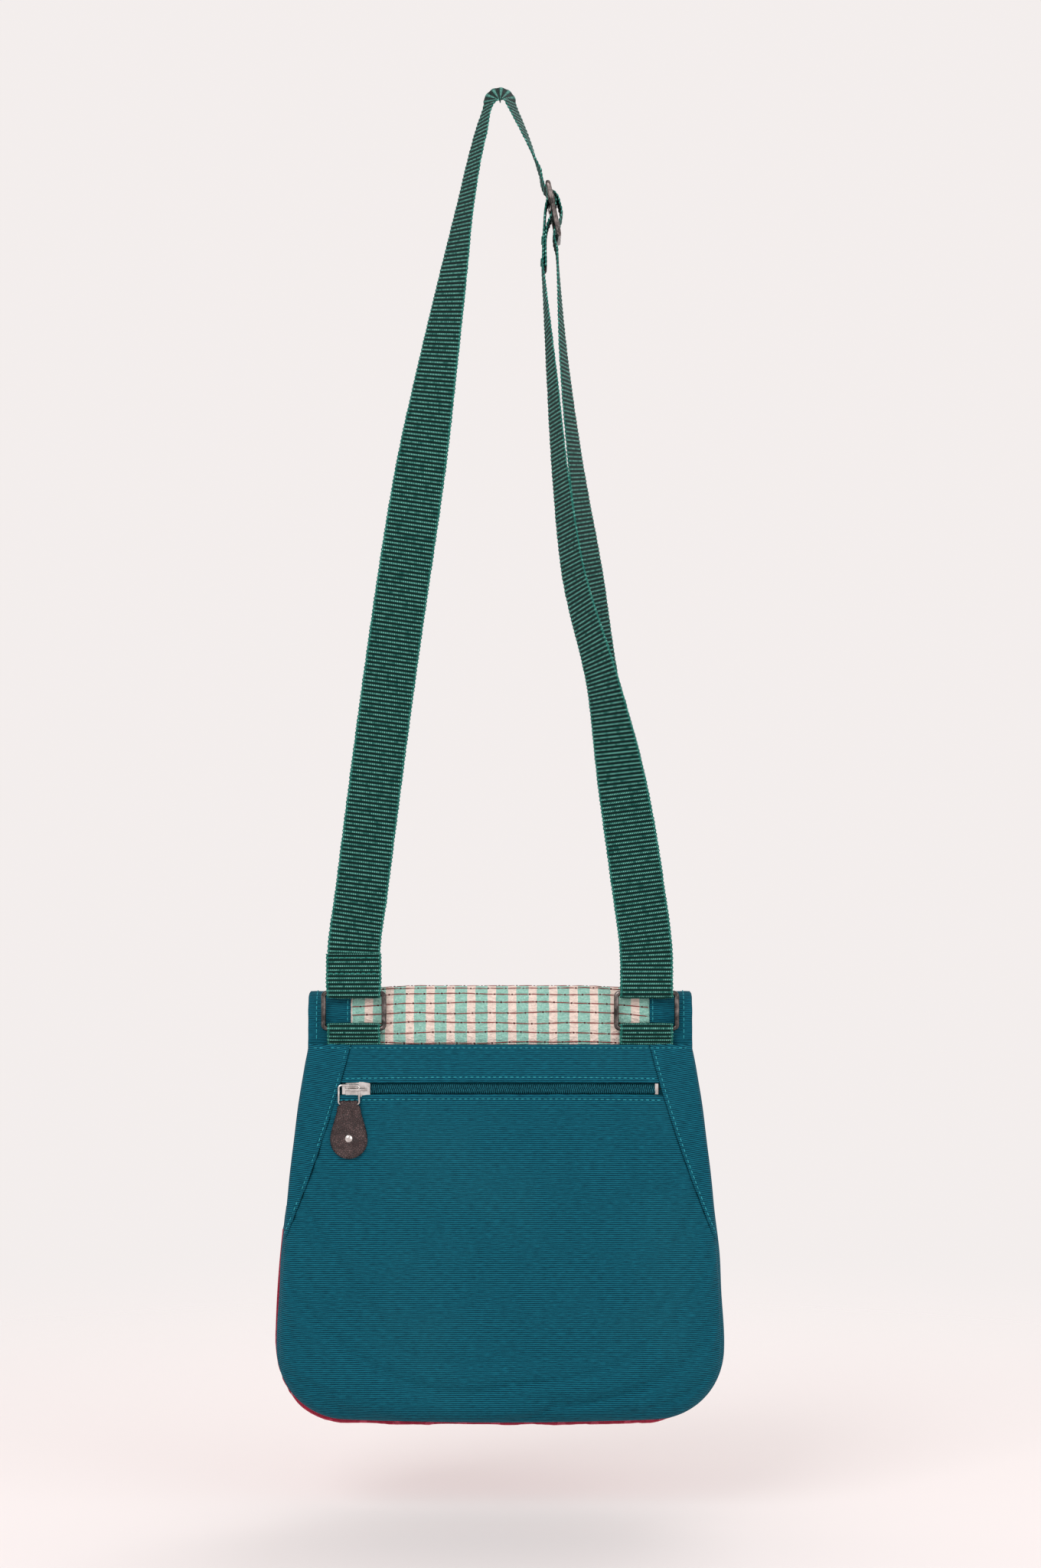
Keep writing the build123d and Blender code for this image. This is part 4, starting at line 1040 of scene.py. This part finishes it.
def front_panel():
    """The bag's front under the flap, with a dimple round the snap."""
    plan = patch(side_x, MOUTH, 0.0, 0.0, 90, 110)
    x, z = plan[..., 0], plan[..., 1]
    distance = edge_distance(x, z, OUTLINE)
    dimple = 0.5 * smooth(*SNAP_HOLLOW, np.hypot(x - SNAP_X, z - SNAP_Z))
    hold = smooth(0.0, 30.0, distance) * smooth(8.0, 24.0, np.hypot(x - SNAP_X, z - SNAP_Z))
    y = front_y(z, FRONT_FACE) - turn_in(distance, edge_round(z)) - dimple
    y = y - 0.5 * hold * (1 + ripple(x, z, 70.0))
    points, uv = together(x, y, z), together(x, z)
    bag_cloth("front_canvas", points, uv, CANVAS, -1, "canvas", "front_panel", "mouth_facing")


def bag_lining():
    """The lining's pouch, open at the mouth, with soft folds."""
    levels, around = 70, 120
    z = mix(MOUTH, BOTTOM + 3.4, np.sin(np.linspace(0, pi / 2, levels)))
    cx, cz = CORNER_CENTRE
    under = np.clip((cz - z) / (BOTTOM_CORNER - POUCH_GAP), 0, 1)
    half = np.where(z > cz, side_x(z) - POUCH_GAP, cx + (BOTTOM_CORNER - POUCH_GAP) * np.sqrt(1 - under**2))
    near = LINING_BACK_Y + 6.0 * smooth(*POUCH_LEVELS, z)
    far = front_y(z, FRONT_FACE - 2.0) - 8.0 * smooth(*POUCH_LEVELS, z)
    turn = np.linspace(0, 2 * pi, around, endpoint=False)
    power = 0.35
    c, s = np.cos(turn), np.sin(turn)
    wide = np.sign(c) * np.abs(c) ** power
    deep = np.sign(s) * np.abs(s) ** power
    fold = 0.9 * (1 + ripple(turn[None] * 40, z[:, None], 46.0)) * smooth(MOUTH, MOUTH - 40, z)[:, None]
    x = (half[:, None] - fold) * wide
    y = (near + far)[:, None] / 2 + ((far - near)[:, None] / 2 - fold) * deep
    inner = together(x, y, np.broadcast_to(z[:, None], x.shape))
    middle = np.array([0, (near + far)[-1] / 2, z[-1]])
    outer = inner + unit(together(c / 12, s, np.zeros_like(c)))[None] * POUCH_THICK
    ends = [middle, middle - (0, 0, POUCH_THICK)]
    points = np.concatenate([inner.reshape(-1, 3), outer.reshape(-1, 3), ends])
    total = levels * around
    faces = []
    for i in range(levels - 1):
        for j in range(around):
            a, b = i * around + j, i * around + (j + 1) % around
            faces.append((a, a + around, b + around, b))
            faces.append((a + total, b + total, b + around + total, a + around + total))
    for j in range(around):
        k = (j + 1) % around
        faces.append((j, k, k + total, j + total))
        low = (levels - 1) * around
        faces.append((low + j, 2 * total, low + k))
        faces.append((low + j + total, low + k + total, 2 * total + 1))
    gone = np.broadcast_to(turn[None] * 60, x.shape)
    uv = together(gone, np.broadcast_to(z[:, None], x.shape)).reshape(-1, 2)
    uv = np.concatenate([uv, uv, [[0, 0], [0, 0]]])
    obj = piece("lining_pouch", points, faces, MATERIALS["lining"], uv)
    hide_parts("main_lining")
    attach(obj, "bag")


def pockets():
    """The flat pocket behind the zip, and the slip pocket on the lining's back wall."""
    for name, node, y_share in (
        ("zip_pocket_cloth", "pocket_lining", 0.5),
        ("slip_pocket_cloth", "inner_slip_pocket", 1.0),
    ):
        low, high = span(node)
        x = np.linspace(low.x, high.x, 60)[None, :]
        z = np.linspace(high.z, low.z, 50)[:, None]
        edge = np.minimum(np.minimum(x - low.x, high.x - x), np.minimum(high.z - z, z - low.z))
        y = mix(low.y, high.y, y_share) + 0.35 * smooth(0, 8, edge) * ripple(x, z, 34.0)
        x, y, z = np.broadcast_arrays(x, y, z)
        bag_cloth(name, together(x, y, z), together(x, z), POCKET_THICK, -1, "lining", node)


# ---------------------------------------------------------------- flap
FOLD_LENGTH_START = FOLD_Z - FLAP_FOOT  # along the cloth, from its foot in the seam to the fold


def flap_section(gone, out):
    """y and z at a length along the flap's cloth and the way out of it, for a layer so far from the axis."""
    end = pi - SLOPE
    arc_length = FOLD_RADIUS * end
    angle = np.clip((gone - FOLD_LENGTH_START) / FOLD_RADIUS, 0, end)
    y = FOLD_Y - out * np.cos(angle)
    z = FOLD_Z + out * np.sin(angle)
    before = np.minimum(gone - FOLD_LENGTH_START, 0)
    after = np.maximum(gone - FOLD_LENGTH_START - arc_length, 0)
    y = y + after * sin(SLOPE)
    z = z + before - after * cos(SLOPE)
    return y, z, -np.cos(angle), np.sin(angle)


FRONT_START = FOLD_LENGTH_START + FOLD_RADIUS * (pi - SLOPE)


def gone_at(z):
    """Length along the flap's cloth at a level on the front."""
    return FRONT_START + (FOLD_Z + FOLD_RADIUS * sin(SLOPE) - z) / cos(SLOPE)


# lengths along the flap's cloth where its cottons meet, the last a crimson hem
FIRST_PATCH = FRONT_START + 84.0
SECOND_PATCH = FRONT_START + 140.0
HEM = gone_at(BOTTOM - FLAP_REACH) - 16.0


def flap_plan(half_back, half_front, reach, inset, back_rows, front_rows, columns):
    """A grid of x and length along the cloth: back and fold, then a front that follows its outline."""
    high = TOP_SEAM + 8.0
    plan = patch(half_front, high, reach, inset, front_rows, columns)
    front = together(plan[..., 0], gone_at(plan[..., 1]))
    gone = np.linspace(0, gone_at(high), back_rows, endpoint=False)[:, None]
    width = mix(half_back, front[0, -1, 0], smooth(FRONT_START - 20, gone_at(high), gone))
    u = np.linspace(-1, 1, columns)[None, :]
    back = together(u * width, gone)
    return np.concatenate([back, front])


def quilting(x, gone):
    """Height of the quilted cloth: low along the rows of stitches, and crinkled between them."""
    row = np.abs(np.sin(pi * (gone - FIRST_ROW) / KANTHA)) ** 0.7
    return QUILT_DEPTH * (row - 1) + 0.16 * ripple(x, gone, 7.0) + 0.10 * ripple(x, gone, 3.4, 1.0)


def flap_point(x, gone, out):
    """A point of the flap and its outward direction, with the layer's slack drape."""
    y, z, out_y, out_z = flap_section(gone, out)
    drape = 1.4 * ripple(x, gone, 120.0, 3.0) * smooth(FRONT_START, FRONT_START + 60, gone)
    lift = np.maximum(drape, 0) + FLAP_LIFT * smooth(FRONT_START, FRONT_START + 110, gone)
    if FLAP_PUFF is not None:
        fullness = blown(FLAP_PUFF, *np.broadcast_arrays(x, z), FLAP_FULLNESS)
        lift = lift + fullness * smooth(FRONT_START + 20, FRONT_START + 60, gone)
    on_fold = smooth(6.0, FOLD_LENGTH_START, gone) * smooth(FRONT_START + 45.0, FRONT_START, gone)
    droop = FOLD_DROOP * smooth(0.4 * HALF_TOP, HALF_TOP, np.abs(x)) * on_fold
    hang = FLAP_HANG * smooth(SNAP_Z - 12.0, BOTTOM, np.where(gone > FRONT_START, z, TOP_SEAM))
    sway = FLAP_SWAY * smooth(FRONT_START + 40.0, FRONT_START + 180.0, gone)
    normal = together(0 * x, out_y, out_z)
    return together(x - sway, y, z - droop - hang) + normal * lift[..., None], normal


def flap_cloth(name, plan, out, thick, relief, slot, nodes):
    """A layer of the flap, which stands for those CAD nodes."""
    x, gone = plan[..., 0], plan[..., 1]
    points, normals = flap_point(x, gone, out)
    points = points + normals * relief(x, gone)[..., None]
    obj = cloth(name, points, plan, thick, -1, slot)
    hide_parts(*nodes)
    return bend_with_flap(obj)


def bend_with_flap(obj):
    """Bakes a flap piece's placement into its mesh."""
    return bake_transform(obj)


def flap_seam(level):
    """Half the width of the patchwork on the front."""
    return np.where(level > TOP_SEAM - SEAM_FOOT_DOWN, seam_x(level) - 0.3, side_x(level, FLAP_REACH))


def flap():
    """Patchwork centre, two canvas side strips, and the cotton lining inside."""
    centre = flap_plan(SEAM_X - 0.3, flap_seam, FLAP_REACH, 0.0, 110, FRONT_ROWS, 130)
    seam = 1.3

    def quilted(x, gone):
        _, z, _, _ = flap_section(gone, FOLD_RADIUS)
        level = np.where(gone > FRONT_START, z, TOP_SEAM)
        on_seam = level > TOP_SEAM - SEAM_FOOT_DOWN
        edge = np.where(on_seam, seam_x(level), side_x(level, FLAP_REACH)) - np.abs(x)
        calm = smooth(0.5, 4.0, edge) * smooth(0.5, 4.0, gone_at(BOTTOM - FLAP_REACH) - gone)
        relief = quilting(x, gone) * np.where(on_seam, 1, calm)
        return relief - groove(np.where(on_seam, edge, 30.0), 0.5, seam)

    quilt = flap_cloth("patchwork_quilt", centre, FOLD_RADIUS, FLAP_THICK, quilted, "patchwork",
                       ("flap_outer_centre", "flap_back_centre", "flap_fold", "flap_wadding"))

    rows, columns = 240, 26
    for name, s in (("left", -1), ("right", 1)):
        gone = np.linspace(0, gone_at(TOP_SEAM - SEAM_FOOT_DOWN), rows)[:, None]
        _, z, _, _ = flap_section(gone, FOLD_RADIUS)
        level = np.where(gone > FRONT_START, np.minimum(z, TOP_SEAM), TOP_SEAM)
        inner, outer = seam_x(level) + 0.1, side_x(level, FLAP_REACH * 0.6) - 0.4
        share = np.linspace(0, 1, columns)[None, :]
        x = mix(inner, np.maximum(outer, inner + 0.3), share)
        plan = together(x * s, gone)
        relief = -groove(x - x[:, :1], 0.3, 0.8) + 0.12 * ripple(x, gone, 9.0, 4.0)
        points, normals = flap_point(plan[..., 0], plan[..., 1], FOLD_RADIUS)
        points = points + normals * relief[..., None]
        obj = cloth(f"flap_strip_canvas_{name}", points, plan, FLAP_THICK, -s, "canvas")
        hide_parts(f"flap_side_{name}", f"flap_back_{name}")
        bend_with_flap(obj)

    inside = flap_plan(HALF_TOP - 2.0, lambda level: side_x(level, FLAP_REACH) - 1.6,
                       FLAP_REACH, LINING_INSET, 60, 110, 90)

    def lined(x, gone):
        _, z, _, _ = flap_section(gone, FOLD_RADIUS)
        near = smooth(11.0, 9.4, np.hypot(x - SNAP_X, np.where(gone > FRONT_START, z, 0) - SNAP_Z))
        return 0.35 * near + 0.10 * ripple(x, gone, 26.0, 5.0)

    out = FOLD_RADIUS - FLAP_THICK - 0.02
    flap_cloth("flap_lining_cotton", inside, out, FLAP_LINING, lined, "lining", ("flap_lining",))


def flap_surface(line):
    """Points and outward normals on the quilted patchwork, for stitches."""
    x, gone = line[:, 0], line[:, 1]
    points, normals = flap_point(x, gone, FOLD_RADIUS)
    return points + normals * quilting(x, gone)[:, None], normals


def patch_half(gone):
    """Half the width of the patchwork at a length along it."""
    _, z, _, _ = flap_section(gone, FOLD_RADIUS)
    return float(seam_x(np.array(z))) if gone > FRONT_START and z < TOP_SEAM else SEAM_X


def lower_half(gone):
    """Half the flap's width near its bottom."""
    _, z, _, _ = flap_section(gone, FOLD_RADIUS)
    cx, cz = CORNER_CENTRE
    if z > cz:
        return float(side_x(np.array(z), FLAP_REACH))
    radius = BOTTOM_CORNER + FLAP_REACH
    under = min(0.999, (cz - z) / radius)
    return cx + radius * (1 - under**2) ** 0.5


def kantha():
    """Rows of running stitch: dark red over the stripes, white over the darker cloths."""
    red, knots, white = [], [], []
    last = gone_at(BOTTOM - FLAP_REACH) - 5.0
    row = FIRST_ROW + KANTHA
    number = 0
    while row < last:
        _, z, _, _ = flap_section(row, FOLD_RADIUS)
        on_low_part = row > FRONT_START and z < TOP_SEAM - SEAM_FOOT_DOWN
        striped = row < FIRST_PATCH
        half = (lower_half(row) if on_low_part else patch_half(row)) - (0.8 if striped else BINDING)
        phase = KNOTS * ((0.37 * number) % 1)
        x = np.linspace(-half, half, 90)
        line = together(x, row + 0.45 * np.sin(x / 21.0 + 1.9 * number) + 0.2 * np.sin(x / 6.3 + number))
        if striped:
            red += stitch_row(flap_surface, line, KNOTS, KNOTS - KNOT_GAP, 0.2, 0.2, phase)
            spots, _ = flap_surface(together(x, line[:, 1]))
            gone = lengths_along(spots)
            for i in range(1, int((gone[-1] + phase) // KNOTS) + 1):
                at = i * KNOTS - phase - KNOT_GAP / 2 + np.array([-0.65, -0.25, 0.25, 0.65])
                where = np.stack([np.interp(at, gone, line[:, k]) for k in (0, 1)], -1)
                spot, normal = flap_surface(where)
                knots.append(spot + normal * 0.18)
        else:
            white += stitch_row(flap_surface, line, WHITE_PITCH, WHITE_LENGTH, 0.2, 0.3, phase)
        row += KANTHA
        number += 1
    thin = [radius * 0.95 for radius in STITCH_RADII]
    bend_with_flap(tubes("kantha_thread_red", red, thin, 6, MATERIALS["red_thread"]))
    ends = (0.15, 0.5, 0.5, 0.15)
    bend_with_flap(tubes("kantha_knots", knots, ends, 6, MATERIALS["dark_thread"]))
    thick = [radius * 1.2 for radius in STITCH_RADII]
    bend_with_flap(tubes("kantha_thread_white", white, thick, 6, MATERIALS["white_thread"]))


def flap_stitches():
    """Edge stitching on the canvas side strips."""
    paths = []
    for s in (-1, 1):
        gone = np.linspace(9.0, gone_at(TOP_SEAM - SEAM_FOOT_DOWN + 16), 200)
        _, z, _, _ = flap_section(gone, FOLD_RADIUS)
        level = np.where(gone > FRONT_START, np.minimum(z, TOP_SEAM), TOP_SEAM)
        for x in (side_x(level, FLAP_REACH * 0.6) - 4.4, seam_x(level) + 1.6):
            paths += stitch_row(flap_surface_plain, together(s * x, gone), 3.3, 2.5)
    obj = tubes("flap_topstitching", paths, STITCH_RADII, STITCH_SIDES, MATERIALS["teal_thread"])
    bend_with_flap(obj)


def flap_surface_plain(line):
    """Points and outward normals on the flap without its quilting."""
    return flap_point(line[:, 0], line[:, 1], FOLD_RADIUS)


# ---------------------------------------------------------------- top seam and ring tabs
TAB_DEPTH = 10.0


def ring_tabs():
    """Short loops of webbing that hold the rings in the top seam."""
    tail_y = FLAP_BACK_Y / 2
    for name, x in (("left", -RING_X), ("right", RING_X)):
        neck, tail = (tail_y, TOP_SEAM), (tail_y, TOP_SEAM - TAB_DEPTH)
        centres = [(x, y, z) for y, z in bar_turn((0, RING_LOW_Z), neck, tail, 1)]
        obj, _ = webbing(f"ring_tab_webbing_{name}", centres, [(1, 0, 0)] * len(centres), 0.6)
        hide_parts(f"ring_tab_{name}")
        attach(obj, "bag")


def seam_allowance():
    """The folded layers inside the top seam."""
    node = frame["nodes"]["top_seam_allowance"]
    finish_node(node, MATERIALS["canvas_plain"], 0.25)


# ---------------------------------------------------------------- zip
COIL_PITCH = 1.15
COIL_WIRE = 0.3  # radius of the coil's own strand
COIL_REACH = 1.3  # of the middle of the strand, above and below the middle of the coil
COIL_DEPTH = 0.45
COIL_OFF = 1.25  # from the middle of the zip to the middle of one coil
COIL_Y = -0.72
TAPE_THICK = 0.45


def zip_parts():
    """Two coils of nylon and woven tapes."""
    for name, s in (("upper", 1), ("lower", -1)):
        turns = int((ZIP_END - ZIP_START) / COIL_PITCH)
        t = np.linspace(0, turns * 2 * pi, turns * 12)
        x = ZIP_START + COIL_PITCH * (t / (2 * pi)) + (COIL_PITCH / 2 if s < 0 else 0)
        z = ZIP_Z + s * (COIL_OFF + COIL_REACH * np.cos(t))
        y = COIL_Y + COIL_DEPTH * np.sin(t)
        path = together(x, y, z)
        points = tube_points(path, COIL_WIRE, 6, np.array([1.0, 0.0, 0.0]))
        obj = piece(f"coil_{name}", points, tube_faces(len(path), 6), MATERIALS["zip_coil"], None)
        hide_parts(f"zip_coil_{name}")
        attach(obj, "bag")
        low, high = span(f"zip_tape_{name}")
        x = np.linspace(low.x, high.x, 160)[None, :]
        near, far = (low.z - 1.2, high.z) if s > 0 else (high.z + 1.2, low.z)
        z = np.linspace(near, far, 30)[:, None]
        y = mix(low.y, high.y, 0.3) + 0.08 * ripple(x, z, 13.0)
        x, y, z = np.broadcast_arrays(x, y, z)
        points, uv = together(x, y, z), together(x, z)
        bag_cloth(f"tape_{name}", points, uv, TAPE_THICK, -s, "zip_tape", f"zip_tape_{name}")


def leather_tab():
    """A folded leather tab with a waist round the pull's wire and a round foot, its edges softened."""
    low, high = span("leather_tab")
    middle_x, middle_y = (low.x + high.x) / 2, (low.y + high.y) / 2
    pull_foot = joints["pull_tab_lift"]["pos_m"][2] / MM
    foot, half = low.z, (high.x - low.x) / 2
    shoulder = pull_foot - 1.1
    wide = foot + half
    rows, columns = 70, 30
    z = mix(pull_foot, foot, np.sin(np.linspace(0, pi / 2, rows)) ** 0.9)
    top_half, neck = 6.3, 4.6
    width = np.where(z > shoulder, neck + (top_half - neck) * smooth(shoulder + 1.2, shoulder, z), 0)
    along = np.clip((shoulder - z) / (shoulder - wide), 0, 1)
    disc = np.sqrt(np.clip(1 - ((wide - z) / half) ** 2, 0.0004, 1)) * half
    body = mix(top_half, half, 0.4 * along + 2.2 * along**2 - 1.6 * along**3)
    width = np.where(z > shoulder, width, np.where(z > wide, body, disc))
    u = np.linspace(-1, 1, columns)
    edge = np.clip(1 - np.abs(u), 0, 1)
    sides = []
    layer = (high.y - low.y) / 2
    for s in (-1, 1):
        crown = 1.25 * np.sqrt(np.clip(edge * 9, 0, 1))[None, :]
        crown = crown * np.sqrt(np.clip((z - foot) / 1.2, 0.02, 1))[:, None]
        head = (layer - 1.25) * smooth(pull_foot - 5.5, pull_foot - 0.5, z)[:, None]
        y = middle_y + s * (crown + head) + 0.06 * ripple(u[None] * width[:, None], z[:, None], 5.0, s)
        x = middle_x + u[None] * width[:, None]
        sides.append(together(x, y, z[:, None]))
    front, back = sides
    roll = []
    for k in range(1, 8):
        angle = pi * k / 8
        y = middle_y - layer * cos(angle)
        roll.append(together(front[0, :, 0], y, pull_foot + layer * sin(angle)))
    grid = np.concatenate([front[::-1], np.array(roll), back])
    total_rows = grid.shape[0]
    number = np.arange(total_rows * columns).reshape(total_rows, columns)
    corners = together(number[:-1, :-1], number[:-1, 1:], number[1:, 1:], number[1:, :-1])
    faces = corners.reshape(-1, 4).tolist()
    for k in range(total_rows // 2):
        mirror = total_rows - 1 - k
        if mirror - k < 2:
            break
        for column, order in ((0, 1), (columns - 1, -1)):
            quad = [number[row, column] for row in (k, k + 1, mirror - 1, mirror)]
            faces.append(quad[::order])
    faces += [
        [int(number[0, j + 1]), int(number[0, j]), int(number[-1, j]), int(number[-1, j + 1])]
        for j in range(columns - 1)
    ]
    obj = piece("leather_pull_tab", grid.reshape(-1, 3), faces, MATERIALS["leather"], None)
    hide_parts("leather_tab")
    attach(obj, "pull_tab")
    rivet(middle_x, middle_y)


def rivet(x, y):
    """A domed rivet through the tab."""
    low, high = span("tab_rivet")
    z = (low.z + high.z) / 2
    radius = (high.x - low.x) / 2
    reach = (high.y - low.y) / 2
    dome = [(0.02, 0.0), (0.9, 0.12), (1.7, 0.42), (radius, 0.85), (radius, 1.15), (1.1, 1.2)]
    profile = [(r, reach - down) for r, down in dome]
    profile = profile + [(r, -d) for r, d in profile[::-1]]
    sides = 28
    turn = np.arange(sides) * 2 * pi / sides
    points = [(x + r * cos(a), y - d, z + r * sin(a)) for r, d in profile for a in turn]
    faces = tube_faces(len(profile), sides)
    obj = piece("rivet_dome", points, faces, MATERIALS["zip_metal"], None)
    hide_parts("tab_rivet")
    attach(obj, "pull_tab")


# ---------------------------------------------------------------- carried-over metal parts
def finish_node(node, material, bevel=0.0):
    """A CAD node keeps its shape and gets its material and softened edges."""
    node.data.materials.clear()
    node.data.materials.append(material)
    if bevel:
        modifier = node.modifiers.new("edges", "BEVEL")
        modifier.width = bevel * MM
        modifier.segments = 3
        modifier.angle_limit = radians(35)
        modifier.limit_method = "ANGLE"
    for polygon in node.data.polygons:
        polygon.use_smooth = True


def metal_parts():
    """Materials of the CAD nodes that are shown as they are."""
    for name in ("ring_left", "ring_right", "adjuster_frame", "adjuster_centre_bar"):
        finish_node(frame["nodes"][name], MATERIALS["copper"])
    for name in ("zip_slider", "zip_end_stops"):
        finish_node(frame["nodes"][name], MATERIALS["zip_metal"], 0.3)
    finish_node(frame["nodes"]["pull_ring"], MATERIALS["zip_metal"])
    for name in ("snap_socket", "snap_stud", "snap_socket_washer", "snap_stud_washer"):
        finish_node(frame["nodes"][name], MATERIALS["snap_metal"], 0.25)


# ---------------------------------------------------------------- webbing stitches
def box_stitches():
    """Rows of stitches across the sewn overlap at the left ring, and across the end loop."""
    paths = []
    half = WEB_WIDTH / 2 - 1.2
    for down in (2.2, 11.0):
        x = np.linspace(-RING_X - half, -RING_X + half, 40)
        z = np.full_like(x, RING_TOP_Z + SEWN_OVERLAP - down)
        paths += stitch_row(overlap_front, together(x, z), 3.0, 2.4, 0.3, 0.3)
    obj = tubes("overlap_stitches", paths, THICK_RADII, STITCH_SIDES, MATERIALS["green_thread"])
    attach(obj, "strap")
    paths = []
    for along in (30.0, 42.0):
        y = np.linspace(-half, half, 40)
        line = together(np.full_like(y, along), y)
        paths += stitch_row(end_loop_front, line, 3.0, 2.4, 0.3, 0.3)
    obj = tubes("end_loop_stitches", paths, THICK_RADII, STITCH_SIDES, MATERIALS["green_thread"])
    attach(obj, "adjuster")


def overlap_front(line):
    """Points and outward normals on the strap's sewn overlap."""
    points = together(line[:, 0], np.full(len(line), -LAYER_Y - WEB_THICK / 2 + 0.1), line[:, 1])
    return points, np.tile([0.0, -1.0, 0.0], (len(line), 1))


def end_loop_front(line):
    """Points and outward normals on the end loop's front layer."""
    tip, tail = END_LOOP_TIP, END_LOOP_TAIL
    share = (line[:, 0] - tip[0]) / (tail[0] - tip[0])
    out = mix(tip[1], tail[1], share) - LAYER_Y - WEB_THICK / 2 + 0.1
    points = np.array([beside(a, o, y) for a, o, y in zip(line[:, 0], out, line[:, 1])])
    return points, np.tile(-OUT, (len(line), 1))


# ---------------------------------------------------------------- stage, light and camera
LENS, SENSOR = 73.8, 36.0
CAMERA_PLACE = (0.0114, -1.8, -0.385)  # metres
FLOOR_HALF = 1600.0
FLOOR_FADE = (0.25, 1.1)  # metres from the middle between which the floor fades out
SURROUNDINGS = (0.90, 0.855, 0.845, 1)
FLOOR_COLOUR = (0.79, 0.745, 0.74, 1)


def stage():
    """A pale floor that fades into the pale surroundings, soft light, and a level camera."""
    world = bpy.data.worlds.new("surroundings")
    bpy.context.scene.world = world
    world.use_nodes = True
    world.node_tree.nodes["Background"].inputs[0].default_value = SURROUNDINGS
    world.node_tree.nodes["Background"].inputs[1].default_value = 1.0
    floor_z = BOTTOM - FLOOR_DOWN
    signs = ((-1, -1), (1, -1), (1, 1), (-1, 1))
    corners = [(x * FLOOR_HALF, y * FLOOR_HALF, floor_z) for x, y in signs]
    s = Shader("floor", roughness=0.9, specular=0.1)
    s.surface.inputs["Base Color"].default_value = FLOOR_COLOUR
    parts = s.node("ShaderNodeSeparateXYZ", (), {0: s.place()})
    squares = [s.math("POWER", parts.outputs[axis], 2.0) for axis in (X, Y)]
    far = s.math("SQRT", s.math("ADD", *squares))
    s.connect(s.math("SUBTRACT", 1.0, s.band(far, *FLOOR_FADE)), "Alpha")
    floor = piece("floor", corners, [(0, 1, 2, 3)], s.material)
    for name, place, power, width in (
        ("key", (-1.1, -1.9, 0.9), 26.0, 1.4),
        ("fill", (1.5, -1.5, 0.1), 11.0, 1.6),
        ("back", (0.6, 1.9, 0.8), 14.0, 1.6),
    ):
        data = bpy.data.lights.new(name, "AREA")
        data.energy = power
        data.size = width
        light = bpy.data.objects.new(name, data)
        light.location = place
        aim = Vector((0, 0, -0.5)) - light.location
        light.rotation_euler = aim.to_track_quat("-Z", "Y").to_euler()
        bpy.context.scene.collection.objects.link(light)
    data = bpy.data.cameras.new("camera")
    data.lens = LENS
    data.sensor_width = SENSOR
    data.clip_start = 0.01
    camera = bpy.data.objects.new("camera", data)
    camera.location = CAMERA_PLACE
    camera.rotation_euler = (radians(90), 0, 0)
    bpy.context.scene.collection.objects.link(camera)
    bpy.context.scene.camera = camera
    bpy.context.scene.view_settings.view_transform = "Standard"


# canvas colours: TEAL_DEEP in the rib valleys and TEAL_RAISED on the crests and slubs, painted shade and
# light mixed with the yarn's own tone; TEAL_FADE is worn patches
TEAL_DEEP, TEAL_RAISED, TEAL_FADE = (0.001, 0.028, 0.047), (0.006, 0.128, 0.184), (0.02, 0.14, 0.17)
MATERIALS = {
    "webbing": webbing_material(),
    "canvas": canvas_material("canvas", TEAL_DEEP, TEAL_RAISED, TEAL_FADE),
    "patchwork": patchwork_material(FIRST_PATCH, SECOND_PATCH, HEM, HALF_LOW - BINDING),
    "lining": cotton_material("lining", (0.50, 0.45, 0.36), (0.62, 0.57, 0.47)),
    "canvas_plain": canvas_material("canvas_inside", TEAL_DEEP, TEAL_RAISED, TEAL_FADE),
    "copper": metal_material("antique_copper", (0.044, 0.039, 0.037), (0.235, 0.200, 0.190), 0.28, 160.0),
    "zip_metal": metal_material("satin_nickel", (0.48, 0.44, 0.42), (0.76, 0.72, 0.70), 0.16, 150.0),
    "snap_metal": metal_material("antique_brass", (0.22, 0.16, 0.09), (0.5, 0.42, 0.28), 0.35, 180.0),
    "zip_coil": coil_material(),
    "zip_tape": tape_material(),
    "leather": leather_material(),
    "teal_thread": thread_material("teal_thread", (0.014, 0.195, 0.240), (0.035, 0.31, 0.375)),
    "green_thread": thread_material("green_thread", (0.010, 0.100, 0.085), (0.05, 0.28, 0.23)),
    "red_thread": thread_material("red_thread", (0.16, 0.030, 0.028), (0.30, 0.075, 0.065)),
    "dark_thread": thread_material("dark_thread", (0.06, 0.008, 0.010), (0.13, 0.02, 0.02)),
    "white_thread": thread_material("white_thread", (0.72, 0.68, 0.62), (0.92, 0.89, 0.84)),
}
BACK_PUFF = settled(patch(side_x, TOP_SEAM, 0.0, 0.0, 52, 60), 0.35, 0.0)
FLAP_PUFF = settled(patch(side_x, TOP_SEAM, FLAP_REACH, 0.0, 52, 60), 0.25, 2.0)

_, hook_length = strap_long()
upper_length = strap_upper(hook_length)
strap_on_adjuster(upper_length)
strap_double()
box_stitches()
ring_tabs()
canvas_back()
canvas_stitches()
gusset()
front_panel()
bag_lining()
pockets()
flap()
kantha()
flap_stitches()
zip_parts()
leather_tab()
metal_parts()
seam_allowance()
stage()
